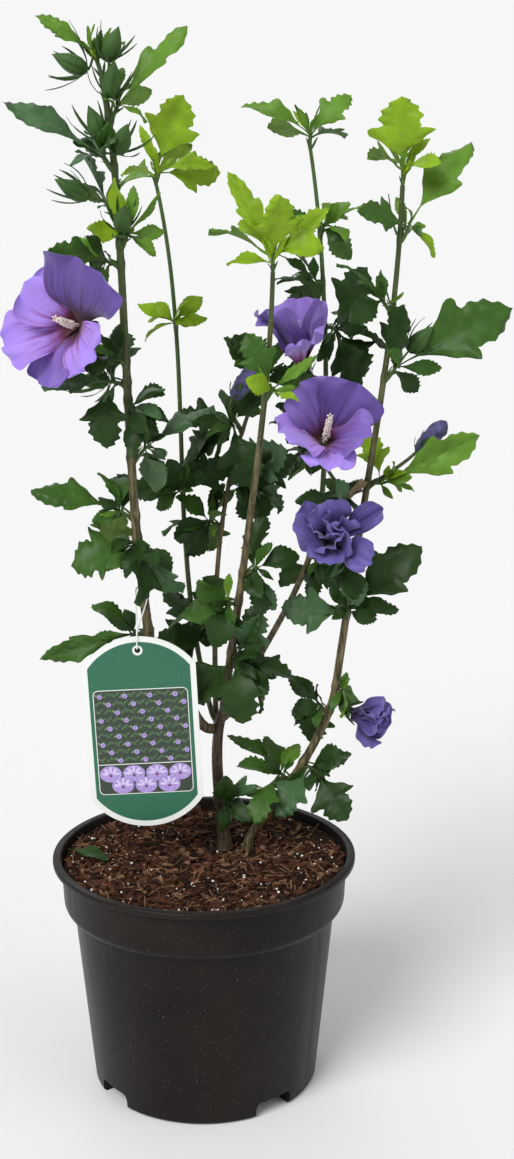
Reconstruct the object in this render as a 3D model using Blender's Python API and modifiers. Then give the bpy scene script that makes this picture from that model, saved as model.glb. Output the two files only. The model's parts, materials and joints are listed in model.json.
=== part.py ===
"""A potted rose of sharon: a shrub of several stems with lobed leaves, buds and
violet blooms, standing in a round nursery pot with a plant label looped on one stem.

Metres, +Z up. The origin is the middle of the pot's flat underside, and the viewer
stands at -Y. An aim is an angle in degrees, clockwise from straight up as the viewer
sees it, and near is the angle that a direction leans toward the viewer.
"""

import math
import random
from collections import namedtuple

import bmesh
import bpy
from mathutils import Matrix, Vector
from mathutils.bvhtree import BVHTree

# The clearance between neighbouring solids, and the least distance from a leaf to its neighbours
GAP = 0.0003
LEAF_CLEARANCE = 0.0005

# Where a turned profile starts, so that none of its vertices lies over an axis
TURN_START = math.radians(3.0)

# Nursery pot
POT_STEPS = 30
POT_WALL = 0.0024
POT_HEIGHT = 0.181
LIP_RADIUS = 0.115
LIP_DEPTH = 0.0045
LIP_THICKNESS = 0.003
LIP_EASE = 0.0005
COLLAR_TOP_RADIUS = 0.1086
COLLAR_FOOT_RADIUS = 0.1072
COLLAR_FOOT_HEIGHT = 0.148
BODY_TOP_RADIUS = 0.0992
BODY_TOP_HEIGHT = 0.136
BODY_FOOT_RADIUS = 0.0862
FOOT_RADIUS = 0.0847
FOOT_EASE_HEIGHT = 0.0025
FOOT_RING_INSIDE = 0.066
DISC_RADIUS = 0.050
UNDERSIDE_RECESS = 0.005
POT_FLOOR = 0.016
INSIDE_LEVELS = (0.016, 0.136, 0.143, 0.150, 0.170)
NOTCH_COUNT = 4
NOTCH_FIRST_TURN = 38.0
NOTCH_WIDTH = 0.032
NOTCH_HEIGHT = 0.0125
NOTCH_DEPTH = 0.024
NOTCH_ROUND = 0.005

# Potting mix
SOIL_STEPS = 30
SOIL_LEVEL = 0.170
SOIL_EDGE = 0.1755
SOIL_FLAT_RADIUS = 0.050
SOIL_SLOPE_RADIUS = 0.075
SOIL_RIM_GAP = 0.004

# Plant label and its loop
LABEL_CENTRE = Vector((-0.0442, -0.0160, 0.2807))
LABEL_TILT = 2.8
LABEL_WIDTH = 0.084
LABEL_SIDE = 0.103
LABEL_RISE = 0.022
LABEL_THICKNESS = 0.0008
LABEL_HOLE_RADIUS = 0.0022
LABEL_ARC_STEPS = 12
LABEL_HOLE_DROP = 0.0105
LOOP_RADIUS = 0.0005
LOOP_HEIGHT = 0.388
LOOP_POINTS = 24

Limb = namedtuple("Limb", "name parent colour bend foot tip")

# Trunk and stems, foot first: the cubic each one follows, and its radius at foot and tip.
# A stem grows from the side of its parent, from the parent's tip or from the potting mix.
LIMBS = [
    Limb("trunk", "soil", "bark",
         ((0.016, 0.030, 0.170), (0.012, 0.030, 0.203), (0.005, 0.022, 0.255), (0.014, 0.020, 0.284)),
         0.0050, 0.0037),
    Limb("centre_stem", "trunk_tip", "bark",
         ((0.014, 0.020, 0.284), (0.033, -0.009, 0.425), (0.050, -0.026, 0.535), (0.051, -0.020, 0.615)),
         0.0034, 0.0016),
    Limb("left_stem_low", "trunk", "bark",
         ((0.009, 0.025, 0.228), (0.010, 0.020, 0.278), (-0.036, 0.004, 0.322), (-0.039, 0.000, 0.347)),
         0.0039, 0.0036),
    Limb("left_stem_high", "left_stem_low_tip", "bark",
         ((-0.039, 0.000, 0.347), (-0.056, -0.029, 0.485), (-0.046, -0.035, 0.658), (-0.063, -0.030, 0.742)),
         0.0036, 0.0021),
    Limb("thin_stem", "trunk", "twig",
         ((0.011, 0.028, 0.262), (-0.034, 0.070, 0.395), (-0.004, 0.068, 0.538), (-0.034, 0.070, 0.675)),
         0.0021, 0.0014),
    Limb("inner_stem", "trunk", "bark",
         ((0.010, 0.026, 0.244), (0.003, 0.076, 0.370), (0.010, 0.066, 0.450), (0.040, 0.066, 0.524)),
         0.0023, 0.0014),
    Limb("back_stem_low", "trunk", "bark",
         ((0.012, 0.024, 0.266), (0.039, 0.050, 0.327), (0.086, 0.090, 0.367), (0.091, 0.090, 0.436)),
         0.0026, 0.0022),
    Limb("back_stem_high", "back_stem_low_tip", "twig",
         ((0.091, 0.090, 0.436), (0.097, 0.090, 0.521), (0.091, 0.090, 0.636), (0.080, 0.090, 0.701)),
         0.0022, 0.0014),
    Limb("right_stem_low", "soil", "bark",
         ((0.0255, 0.029, 0.170), (0.045, 0.023, 0.197), (0.092, 0.038, 0.251), (0.100, 0.030, 0.299)),
         0.0034, 0.0031),
    Limb("right_stem_high", "right_stem_low_tip", "bark",
         ((0.100, 0.030, 0.299), (0.125, 0.011, 0.506), (0.140, 0.024, 0.555), (0.143, 0.020, 0.674)),
         0.0031, 0.0017),
]
LIMB_SPACING = 0.034
LIMB_STEPS = 64
SLIM_LIMB = 0.0024
ROOT_FLARE = (1.35, 1.3, 1.1)

# One mass of foliage: the stem it grows from, the height of its foot (None at the tip), the way its
# own stem leaves and how far it goes, the tone of its leaves, its leading leaves as aim, near, reach
# from the limb's axis and width, how many more leaves the seeded rule adds, its buds as aim, near and
# reach, and its bloom.
Mass = namedtuple("Mass", "name limb height aim near stem tone leads more buds bloom", defaults=((), None))
Bloom = namedtuple("Bloom", "kind throat aim near petal turn")

MASSES = [
    Mass("left_leaves_1", "left_stem_high", 0.356, -106, 10, 0.014, "mid", [(-106, 10, 0.085, 0.7)], 2),
    Mass("left_leaves_2", "left_stem_high", 0.428, 175, 60, 0.014, "deep", [(175, 40, 0.060, 1.6)], 3),
    Mass("left_leaves_3", "left_stem_high", 0.445, -75, 15, 0.013, "mid",
         [(-75, 10, 0.077, 1.0), (-97, 25, 0.033, 0.9), (-42, -10, 0.042, 0.6)], 2),
    Mass("left_leaves_4", "left_stem_high", 0.487, 59, -5, 0.013, "grey", [(59, -10, 0.070, 0.85)], 3),
    Mass("left_leaves_5", "left_stem_high", 0.528, 150, 45, 0.012, "deep",
         [(172, 30, 0.045, 0.9), (118, 0, 0.034, 0.9)], 1),
    Mass("left_leaves_6", "left_stem_high", 0.541, -93, 0, 0.014, "grey", [(-93, 10, 0.062, 0.8)], 2,
         [(-92, -25, 0.042)]),
    Mass("left_bloom", "left_stem_high", 0.556, -60, 50, 0.014, "deep", [(-100, -5, 0.034, 0.7)], 0, [],
         Bloom("open", (-0.0809, -0.0550, 0.5813), -80, 68, 0.050, 10)),
    Mass("left_leaves_7", "left_stem_high", 0.622, -84, 25, 0.013, "mid", [(-84, 25, 0.058, 0.9)], 1),
    Mass("left_leaves_8", "left_stem_high", 0.635, 40, 25, 0.012, "fresh",
         [(15, 10, 0.042, 0.7), (75, -10, 0.034, 0.8), (110, 20, 0.030, 0.8)], 1, [(14, 45, 0.038)]),
    Mass("left_leaves_9", "left_stem_high", 0.653, -45, -10, 0.012, "grey", [(-32, -15, 0.054, 1.1)], 0,
         [(-60, 10, 0.050)]),
    Mass("left_leaves_10", "left_stem_high", 0.686, -50, 20, 0.012, "grey", [(-61, 5, 0.083, 0.6)], 0,
         [(-22, 15, 0.044), (24, 40, 0.038)]),
    Mass("left_leaves_11", "left_stem_high", 0.718, 43, 10, 0.012, "fresh",
         [(43, 0, 0.078, 0.75), (100, 15, 0.030, 0.7)], 0, [(10, 25, 0.040)]),
    Mass("left_top", "left_stem_high", None, -15, 10, 0.016, "fresh",
         [(-48, 0, 0.060, 0.55), (-15, 10, 0.035, 0.45), (12, -10, 0.034, 0.45), (38, 15, 0.030, 0.5)], 0,
         [(-66, 20, 0.038), (24, 30, 0.040)]),
    Mass("thin_leaves_1", "thin_stem", 0.448, -30, 70, 0.012, "deep",
         [(-88, 15, 0.042, 1.0), (60, -10, 0.046, 1.0)], 6),
    Mass("thin_leaves_2", "thin_stem", 0.573, -10, 70, 0.012, "lime",
         [(45, 10, 0.032, 0.9), (-60, 15, 0.034, 0.9), (-115, 30, 0.030, 0.9)], 2),
    Mass("thin_top", "thin_stem", None, 5, 10, 0.012, "lime",
         [(18, 0, 0.068, 1.1), (-15, 10, 0.046, 0.5), (75, 10, 0.049, 0.7), (40, -25, 0.046, 0.8),
          (-75, 20, 0.030, 1.0)], 2),
    Mass("trunk_leaves", "trunk", 0.214, 100, 50, 0.012, "deep", [(115, 40, 0.036, 1.0)], 1),
    Mass("centre_leaves_1", "centre_stem", 0.336, 120, 50, 0.012, "deep",
         [(170, 35, 0.060, 1.3), (112, 15, 0.054, 1.1), (-140, 20, 0.050, 1.2), (30, 15, 0.046, 0.9)], 5),
    Mass("centre_leaves_2", "centre_stem", 0.377, -100, 25, 0.012, "mid",
         [(-100, 25, 0.048, 1.0), (-118, -15, 0.064, 1.2)], 3),
    Mass("centre_leaves_3", "centre_stem", 0.400, 75, 10, 0.012, "deep", [(75, 0, 0.044, 1.1)], 5),
    Mass("centre_leaves_4", "centre_stem", 0.530, 45, 40, 0.012, "fresh", [(49, 30, 0.055, 0.5)], 1),
    Mass("centre_top", "centre_stem", None, 0, 15, 0.012, "lime",
         [(5, 25, 0.057, 1.15), (-25, 0, 0.075, 0.65), (42, -10, 0.060, 0.7), (-80, 20, 0.036, 0.9)], 3),
    Mass("inner_leaves_1", "inner_stem", 0.345, -80, 30, 0.012, "deep",
         [(-50, 0, 0.052, 1.1), (-110, 10, 0.052, 1.1)], 7),
    Mass("inner_leaves_2", "inner_stem", 0.421, -70, 20, 0.012, "mid",
         [(-55, 10, 0.046, 1.0), (-100, 0, 0.052, 1.1)], 7),
    Mass("inner_leaves_3", "inner_stem", 0.455, 90, 10, 0.012, "deep",
         [(70, 0, 0.056, 1.1), (115, 25, 0.050, 1.2)], 5),
    Mass("inner_leaves_4", "inner_stem", 0.495, -60, 30, 0.012, "deep",
         [(-80, 20, 0.056, 1.1), (-120, 0, 0.050, 1.1), (170, 30, 0.050, 1.1)], 4, [],
         Bloom("rolled", (0.0230, 0.0360, 0.5230), 38, 10, 0.032, 0)),
    Mass("inner_top", "inner_stem", None, 20, 10, 0.012, "mid",
         [(30, 10, 0.046, 0.9), (-30, 25, 0.050, 1.0), (85, -10, 0.050, 1.0)], 4),
    Mass("back_leaves_1", "back_stem_low", 0.395, 140, 10, 0.012, "deep",
         [(130, 10, 0.048, 1.0), (95, -30, 0.050, 1.0)], 4),
    Mass("back_leaves_2", "back_stem_high", 0.470, -70, -30, 0.012, "deep",
         [(-60, -20, 0.055, 1.0), (-110, -45, 0.050, 1.0)], 5),
    Mass("back_bloom", "back_stem_high", 0.508, -60, 50, 0.014, "deep", [(-120, 40, 0.040, 0.9)], 1, [],
         Bloom("narrow", (0.0730, 0.0400, 0.5475), -12, 12, 0.055, 40)),
    Mass("back_leaves_3", "back_stem_high", 0.572, 110, 30, 0.012, "deep",
         [(152, 25, 0.060, 1.1), (108, 20, 0.054, 1.1), (60, 0, 0.040, 0.8)], 3),
    Mass("back_leaves_4", "back_stem_high", 0.605, -100, 50, 0.012, "deep",
         [(-60, 15, 0.042, 0.8), (-160, 20, 0.045, 0.9)], 3),
    Mass("back_leaves_5", "back_stem_high", 0.640, 20, 50, 0.012, "fresh",
         [(58, 10, 0.042, 0.7), (-70, 5, 0.032, 0.5)], 2),
    Mass("back_top", "back_stem_high", None, 0, 10, 0.012, "fresh",
         [(-60, 0, 0.064, 0.65), (38, 0, 0.052, 0.8), (15, -15, 0.041, 0.6), (-20, 15, 0.032, 0.5)], 2),
    Mass("right_leaves_1", "right_stem_low", 0.228, -65, 15, 0.012, "mid",
         [(-70, 20, 0.050, 1.0), (-60, -15, 0.062, 0.7)], 2),
    Mass("right_leaves_2", "right_stem_low", 0.242, 125, 30, 0.012, "deep",
         [(140, 30, 0.058, 1.3), (85, -10, 0.038, 0.9)], 2),
    Mass("right_leaves_3", "right_stem_low", 0.284, -60, 20, 0.012, "deep",
         [(-48, 10, 0.044, 0.9), (-110, 20, 0.032, 0.8)], 1),
    Mass("right_bloom_low", "right_stem_high", 0.304, 90, 40, 0.014, "mid", [(-160, 50, 0.026, 0.8)], 0, [],
         Bloom("closing", (0.1151, 0.0100, 0.2882), 95, 35, 0.033, 0)),
    Mass("right_leaves_4", "right_stem_high", 0.362, 10, 60, 0.012, "deep",
         [(45, 10, 0.078, 1.2), (80, 25, 0.044, 0.9), (-35, 15, 0.026, 0.8), (-85, 20, 0.030, 0.8)], 1),
    Mass("right_bloom_middle", "right_stem_high", 0.402, -90, 40, 0.014, "deep",
         [(-72, -5, 0.040, 0.8)], 1, [],
         Bloom("half", (0.0950, -0.0060, 0.4240), 0, 62, 0.040, 20)),
    Mass("right_bloom_high", "right_stem_high", 0.440, -50, 30, 0.014, "deep",
         [(-78, 20, 0.056, 0.8), (-100, -20, 0.045, 0.9)], 1, [],
         Bloom("cup", (0.0880, -0.0180, 0.4975), 10, 55, 0.049, 30)),
    Mass("right_leaves_5", "right_stem_high", 0.462, 60, 20, 0.012, "fresh",
         [(66, 5, 0.090, 0.9), (75, 35, 0.038, 0.8), (100, 10, 0.036, 0.6)], 1, [],
         Bloom("rolled", (0.1580, 0.0180, 0.4858), 42, 10, 0.030, 0)),
    Mass("right_leaves_6", "right_stem_high", 0.540, 50, 15, 0.012, "mid", [(62, 0, 0.104, 1.0)], 1,
         [(43, 10, 0.052)]),
    Mass("right_leaves_7", "right_stem_high", 0.588, -52, 5, 0.012, "mid", [(-52, 5, 0.054, 0.55)], 1),
    Mass("right_leaves_8", "right_stem_high", 0.638, 37, 5, 0.012, "fresh", [(37, 0, 0.083, 1.1)], 1),
    Mass("right_top", "right_stem_high", None, 0, 10, 0.010, "lime",
         [(-3, 15, 0.062, 1.4), (32, -10, 0.040, 0.6)], 2),
]

# Leaf and petal outlines: along the rib, along the edge and half the width, as shares of the length
LOBED = ((0.00, 0.00, 0.012), (0.20, 0.20, 0.012), (0.34, 0.37, 0.185), (0.50, 0.59, 0.330),
         (0.61, 0.64, 0.200), (0.80, 0.84, 0.170))
PLAIN = ((0.00, 0.00, 0.020), (0.20, 0.20, 0.020), (0.48, 0.56, 0.330), (0.74, 0.78, 0.190))
PETAL = ((0.00, 0.00, 0.050), (0.30, 0.30, 0.230), (0.66, 0.66, 0.440), (0.94, 0.90, 0.330))
LOBED_FROM = 0.048
LEAF_THICKNESS = 0.016
PLAIN_THICKNESS = 0.040
LEAF_FOLD = 14.0
LEAF_DROOP = 32.0
PETAL_THICKNESS = 0.016

# How a kind of bloom holds its petals, in degrees: opening from the axis, fold, recurve and roll
BLOOM_FORM = {"open": (60, 8, 42, 9), "cup": (46, 14, 34, 9), "narrow": (33, 16, 30, 9),
              "half": (48, 24, 20, 20), "closing": (18, 24, 14, 14)}
PETALS = {"open": 5, "cup": 5, "narrow": 5, "half": 5, "closing": 4}
WITH_COLUMN = ("open", "cup", "narrow")
PETAL_SINK = 0.004
PETAL_SEAT = 0.0008
ROLLED_GIRTH = 0.24
COLUMN_LENGTH = 0.028
COLUMN_RADIUS = 0.0021
CALYX_LENGTH = 0.015
CALYX_SHARE = 1.4
CALYX_RADIUS = 0.0052
BUD_LENGTH = 0.027
BUD_RADIUS = 0.0062
BUD_SINK = 0.001

# Twigs: their radii, the straight run at the foot, and how deep stalks and leaf roots are sunk
STEM_RADIUS = 0.0012
SIDE_RADIUS = 0.00096
TWIG_FOOT = 0.0012
FOOT_GAP = 1.3 * GAP
STALK_SINK = 0.002
ROOT_SINK = 0.002
ROOT_SPACING = 0.0015

# The rule that places leaves: how often a place is tried, how far a leading leaf swings nearer or
# farther at each try, and the size of the leaves that follow, as a share of the longest leading leaf
LEAD_TRIES = 9
LEAD_SWING = 9
FOLLOWER_TRIES = 6
FOLLOWER_SHARE = 0.9
FOLLOWER_LEAST = 0.030
FOLLOWER_MOST = 0.050
FOLLOWER_SHRINK = 0.92

# Finishes: base colour and roughness
FINISHES = {
    "pot": ((0.019, 0.016, 0.015), 0.38),
    "soil": ((0.085, 0.036, 0.018), 0.95),
    "bark": ((0.115, 0.078, 0.040), 0.75),
    "twig": ((0.100, 0.120, 0.040), 0.70),
    "label": ((0.80, 0.82, 0.80), 0.35),
    "loop": ((0.85, 0.86, 0.86), 0.40),
    "lime": ((0.255, 0.435, 0.040), 0.50),
    "fresh": ((0.110, 0.260, 0.030), 0.50),
    "mid": ((0.055, 0.150, 0.025), 0.50),
    "deep": ((0.022, 0.075, 0.018), 0.50),
    "grey": ((0.070, 0.150, 0.070), 0.60),
    "petal": ((0.230, 0.130, 0.600), 0.55),
}


def clear_scene():
    for obj in list(bpy.data.objects):
        bpy.data.objects.remove(obj, do_unlink=True)


def finish(name):
    found = bpy.data.materials.get(name)
    if found:
        return found
    colour, roughness = FINISHES[name]
    made = bpy.data.materials.new(name)
    made.use_nodes = True
    shader = made.node_tree.nodes["Principled BSDF"]
    shader.inputs["Base Color"].default_value = (*colour, 1.0)
    shader.inputs["Roughness"].default_value = roughness
    made.diffuse_color = (*colour, 1.0)
    return made


def new_collection(name, parent=None):
    made = bpy.data.collections.new(name)
    (parent or bpy.context.scene.collection).children.link(made)
    return made


def add_object(name, data, collection, finish_name=None):
    made = bpy.data.objects.new(name, data)
    collection.objects.link(made)
    if finish_name:
        data.materials.append(finish(finish_name))
    return made


def mesh_of(name, points, faces):
    data = bpy.data.meshes.new(name)
    data.from_pydata([tuple(p) for p in points], [], faces)
    data.update()
    return data


def evaluated_mesh(obj):
    """The object's mesh with its modifiers applied, in world space and with its caps welded."""
    graph = bpy.context.evaluated_depsgraph_get()
    data = bpy.data.meshes.new_from_object(obj.evaluated_get(graph))
    data.transform(obj.matrix_world)
    shape = bmesh.new()
    shape.from_mesh(data)
    bmesh.ops.remove_doubles(shape, verts=shape.verts, dist=1e-6)
    shape.to_mesh(data)
    shape.free()
    return data


def shade_round(data, angle=40.0):
    data.shade_smooth()
    data.set_sharp_from_angle(angle=math.radians(angle))


def tube(name, points, radii, resolution, collection, finish_name=None):
    """A round tapering rod along a smooth run of points, with its ends capped."""
    data = bpy.data.curves.new(name, "CURVE")
    data.dimensions = "3D"
    data.bevel_depth = 1.0
    data.bevel_resolution = resolution
    data.use_fill_caps = True
    line = data.splines.new("POLY")
    line.points.add(len(points) - 1)
    for spot, point, radius in zip(line.points, points, radii):
        spot.co = (*point, 1.0)
        spot.radius = radius
    return add_object(name, data, collection, finish_name)


def turned(name, profile, steps, collection, finish_name):
    """A profile that starts and ends on the axis, turned about it."""
    data = bpy.data.meshes.new(name)
    runs = [(i, i + 1) for i in range(len(profile) - 1)]
    across, back = math.cos(TURN_START), math.sin(TURN_START)
    data.from_pydata([(r * across, r * back, z) for r, z in profile], runs, [])
    made = add_object(name, data, collection, finish_name)
    screw = made.modifiers.new("turn", "SCREW")
    screw.steps = steps
    screw.render_steps = steps
    screw.use_merge_vertices = True
    screw.merge_threshold = 0.00001
    screw.use_smooth_shade = True
    return made


def arc(centre, radius, start, end, steps):
    """Points round a profile's arc, from the start angle to the end angle in degrees."""
    turns = [math.radians(start + (end - start) * k / steps) for k in range(steps + 1)]
    return [(centre[0] + radius * math.cos(a), centre[1] + radius * math.sin(a)) for a in turns]


def pot_outside():
    """The wall's outer side from under the lip to the foot."""
    shoulder = COLLAR_FOOT_RADIUS - BODY_TOP_RADIUS
    return [
        (COLLAR_TOP_RADIUS, POT_HEIGHT - LIP_DEPTH - 4 * LIP_EASE),
        *arc((BODY_TOP_RADIUS, COLLAR_FOOT_HEIGHT), shoulder, 0, -70, 2),
        (BODY_TOP_RADIUS, BODY_TOP_HEIGHT),
        (BODY_FOOT_RADIUS, FOOT_EASE_HEIGHT),
    ]


def pot_inside_radius(height):
    """The inner wall's radius at a height, one wall inside the outer outline."""
    outline = pot_outside()
    for (r0, z0), (r1, z1) in zip(outline, outline[1:]):
        if z1 <= height <= z0:
            return r1 + (r0 - r1) * (height - z1) / (z0 - z1) - POT_WALL
    return outline[0][0] - POT_WALL


def make_pot(collection, helpers):
    inside = [(pot_inside_radius(z), z) for z in INSIDE_LEVELS]
    lip = [
        (LIP_RADIUS - LIP_THICKNESS - 4 * LIP_EASE, POT_HEIGHT - LIP_DEPTH),
        (LIP_RADIUS - LIP_THICKNESS, POT_HEIGHT),
        (LIP_RADIUS - LIP_EASE, POT_HEIGHT),
        (LIP_RADIUS, POT_HEIGHT - 2 * LIP_EASE),
        (LIP_RADIUS - LIP_EASE, POT_HEIGHT - LIP_DEPTH),
    ]
    underside = [
        (FOOT_RADIUS, 0.0),
        (FOOT_RING_INSIDE, 0.0),
        (FOOT_RING_INSIDE - 0.001, UNDERSIDE_RECESS),
        (DISC_RADIUS + 0.001, UNDERSIDE_RECESS),
        (DISC_RADIUS, 0.0),
        (0.0, 0.0),
    ]
    profile = [(0.0, POT_FLOOR), *inside, *lip, *pot_outside(), *underside]
    pot = turned("pot", profile, POT_STEPS, collection, "pot")
    for k in range(NOTCH_COUNT):
        turn = math.radians(NOTCH_FIRST_TURN + k * 360.0 / NOTCH_COUNT)
        out = Vector((math.sin(turn), -math.cos(turn), 0.0))
        bpy.ops.mesh.primitive_cube_add(size=1.0)
        cutter = bpy.context.object
        cutter.name = "foot_notch"
        cutter.data.transform(Matrix.Diagonal((NOTCH_WIDTH, 2 * NOTCH_DEPTH, 2 * NOTCH_HEIGHT, 1.0)))
        cutter.location = out * FOOT_RADIUS
        cutter.rotation_euler = (0.0, 0.0, turn)
        for owner in cutter.users_collection:
            owner.objects.unlink(cutter)
        helpers.objects.link(cutter)
        cutter.hide_render = True
        cutter.display_type = "WIRE"
        rounded = cutter.modifiers.new("round", "BEVEL")
        rounded.width = NOTCH_ROUND
        rounded.segments = 2
        cut = pot.modifiers.new("notch", "BOOLEAN")
        cut.operation = "DIFFERENCE"
        cut.object = cutter
    return pot


def make_soil(collection):
    """Potting mix that fills the pot, flat about the stems and rising toward the lip."""
    side = [(pot_inside_radius(z) - GAP * 2, z) for z in INSIDE_LEVELS]
    side[0] = (side[0][0], POT_FLOOR + GAP)
    rim = LIP_RADIUS - LIP_THICKNESS - SOIL_RIM_GAP
    slope = (SOIL_SLOPE_RADIUS, (SOIL_LEVEL + SOIL_EDGE) / 2)
    top = [(0.0, SOIL_LEVEL), (SOIL_FLAT_RADIUS, SOIL_LEVEL), slope, (rim, SOIL_EDGE)]
    profile = [*top, *reversed(side), (0.0, POT_FLOOR + GAP)]
    return turned("soil", profile, SOIL_STEPS, collection, "soil")


def cubic(points, t):
    a, b, c, d = (Vector(p) for p in points)
    s = 1.0 - t
    return a * s**3 + b * (3 * s * s * t) + c * (3 * s * t * t) + d * t**3


def rounded_corner(start, corner, end, steps):
    """Points on a smooth bend that leaves start toward the corner and arrives at end from it."""
    found = []
    for k in range(steps):
        t = k / steps
        found.append(start * (1 - t) ** 2 + corner * (2 * t * (1 - t)) + end * t * t)
    return found


class Path:
    """A limb's centre line with its radius at each point."""

    def __init__(self, points, foot, tip):
        self.points = points
        run = [0.0]
        for a, b in zip(points, points[1:]):
            run.append(run[-1] + (b - a).length)
        self.radii = [foot + (tip - foot) * r / run[-1] for r in run]

    def at_height(self, height):
        """Point, direction and radius where the limb passes a height."""
        rows = list(zip(self.points, self.points[1:], self.radii, self.radii[1:]))
        for a, b, ra, rb in rows:
            if a.z <= height <= b.z:
                share = (height - a.z) / (b.z - a.z)
                return a.lerp(b, share), (b - a).normalized(), ra + (rb - ra) * share
        a, b, ra, rb = rows[-1]
        return b, (b - a).normalized(), rb

    def end(self):
        return self.points[-1], (self.points[-1] - self.points[-2]).normalized(), self.radii[-1]


def away_from(point, axis_point, axis):
    """Unit vector from a limb's axis to a point, square to the axis."""
    out = point - axis_point
    return (out - axis * out.dot(axis)).normalized()


def limb_path(limb, paths):
    """A limb's points: a short rounded foot that meets its parent squarely, then the cubic."""
    line = [cubic(limb.bend, k / LIMB_STEPS) for k in range(LIMB_STEPS + 1)]
    if limb.parent.endswith("_tip"):
        end, along, _ = paths[limb.parent.removesuffix("_tip")].end()
        foot = end + along * GAP
        line = [foot + (p - line[0]) for p in line]
        head = [foot, foot + along * 0.002]
        first = next(k for k, p in enumerate(line) if (p - foot).length > 0.008)
    elif limb.parent == "soil":
        first = next(k for k, p in enumerate(line) if p.z > SOIL_LEVEL + 5 * limb.foot)
        along = (line[first] - line[first - 1]).normalized()
        corner = line[first] - along * (3 * limb.foot)
        foot = Vector((corner.x, corner.y, SOIL_LEVEL + GAP))
        head = [foot, *rounded_corner(foot + Vector((0.0, 0.0, TWIG_FOOT)), corner, line[first], 3)]
    else:
        parent = paths[limb.parent]
        clear = 3 * limb.foot + 0.002

        def outside(p):
            spot, axis, radius = parent.at_height(p.z)
            return (p - spot - axis * (p - spot).dot(axis)).length > radius + clear

        first = next(k for k, p in enumerate(line) if outside(p))
        along = (line[first] - line[first - 1]).normalized()
        corner = line[first] - along * (3 * limb.foot)
        spot, axis, radius = parent.at_height(corner.z)
        out = away_from(corner, spot, axis)
        foot = spot + out * (radius + FOOT_GAP)
        head = [foot, *rounded_corner(foot + out * TWIG_FOOT, corner, line[first], 3)]
    rest = [line[first]]
    for p in line[first + 1:]:
        if (p - rest[-1]).length >= LIMB_SPACING:
            rest.append(p)
    if (line[-1] - rest[-1]).length < LIMB_SPACING / 2 and len(rest) > 1:
        rest.pop()
    return Path([*head, *rest, line[-1]], limb.foot, limb.tip)


def make_limbs(collection):
    paths = {}
    for limb in LIMBS:
        path = limb_path(limb, paths)
        if limb.parent == "soil":
            for k, flare in enumerate(ROOT_FLARE):
                path.radii[k] *= flare
        paths[limb.name] = path
        sides = 1 if limb.foot < SLIM_LIMB else 2
        made = tube(limb.name, path.points, path.radii, sides, collection, limb.colour)
        made.data.splines[0].use_smooth = True
    return paths


def label_outline():
    """Points round the label, clockwise from its lower left: straight sides between two arcs."""
    half = LABEL_WIDTH / 2
    radius = (half * half + LABEL_RISE * LABEL_RISE) / (2 * LABEL_RISE)
    sweep = math.degrees(math.asin(half / radius))
    middle = LABEL_SIDE / 2 + LABEL_RISE - radius
    top = arc((0.0, middle), radius, 90 + sweep, 90 - sweep, LABEL_ARC_STEPS)
    bottom = arc((0.0, -middle), radius, sweep - 90, -90 - sweep, LABEL_ARC_STEPS)
    return top + bottom


def label_hole():
    return Vector((0.0, LABEL_SIDE / 2 + LABEL_RISE - LABEL_HOLE_DROP))


def make_label(collection):
    data = bpy.data.curves.new("label", "CURVE")
    data.dimensions = "2D"
    data.fill_mode = "BOTH"
    data.extrude = LABEL_THICKNESS / 2
    hole = label_hole()
    for ring in (label_outline(), arc(hole, LABEL_HOLE_RADIUS, 0, 330, 11)):
        line = data.splines.new("POLY")
        line.points.add(len(ring) - 1)
        for spot, (x, y) in zip(line.points, ring):
            spot.co = (x, y, 0.0, 1.0)
        line.use_cyclic_u = True
    made = add_object("label", data, collection, "label")
    made.location = LABEL_CENTRE
    made.rotation_euler = (math.radians(90), math.radians(-LABEL_TILT), 0.0)
    return made


def label_point(across, up, forward):
    """A world point on the label, from its centre, with forward toward the viewer."""
    tilt = math.radians(LABEL_TILT)
    x = across * math.cos(tilt) - up * math.sin(tilt)
    z = across * math.sin(tilt) + up * math.cos(tilt)
    return LABEL_CENTRE + Vector((x, -forward, z))


def make_loop(collection, paths):
    """A thin tie through the label's hole and round the left stem."""
    stem, _, radius = paths["left_stem_high"].at_height(LOOP_HEIGHT)
    hole = label_hole()
    seat = hole.y + LABEL_HOLE_RADIUS - LOOP_RADIUS - GAP
    half = LABEL_THICKNESS / 2
    wide = radius + LOOP_RADIUS + 2 * GAP
    turns = [
        label_point(0.0, seat, 0.0),
        label_point(0.0, seat + 0.001, half + 0.0014),
        label_point(0.0005, hole.y + 0.012, half + 0.0012),
        Vector((stem.x - wide, stem.y - wide, LOOP_HEIGHT - 0.006)),
        Vector((stem.x - wide, stem.y, LOOP_HEIGHT)),
        Vector((stem.x, stem.y + wide, LOOP_HEIGHT + 0.001)),
        Vector((stem.x + wide, stem.y, LOOP_HEIGHT)),
        Vector((stem.x + wide * 0.7, stem.y - wide, LOOP_HEIGHT - 0.008)),
        label_point(0.001, hole.y + 0.014, -half - 0.0014),
        label_point(0.0, seat + 0.001, -half - 0.0014),
    ]
    data = bpy.data.curves.new("label_loop", "CURVE")
    data.dimensions = "3D"
    data.bevel_depth = LOOP_RADIUS
    data.bevel_resolution = 0
    line = data.splines.new("POLY")
    line.points.add(LOOP_POINTS - 1)
    for k, spot in enumerate(line.points):
        share = k * len(turns) / LOOP_POINTS
        first = int(share)
        a, b, c, d = (turns[(first + j) % len(turns)] for j in (-1, 0, 1, 2))
        t = share - first
        point = 0.5 * (2 * b + (c - a) * t + (2 * a - 5 * b + 4 * c - d) * t * t
                       + (3 * b - a - 3 * c + d) * t**3)
        spot.co = (*point, 1.0)
    line.use_cyclic_u = True
    return add_object("label_loop", data, collection, "loop")


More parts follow.
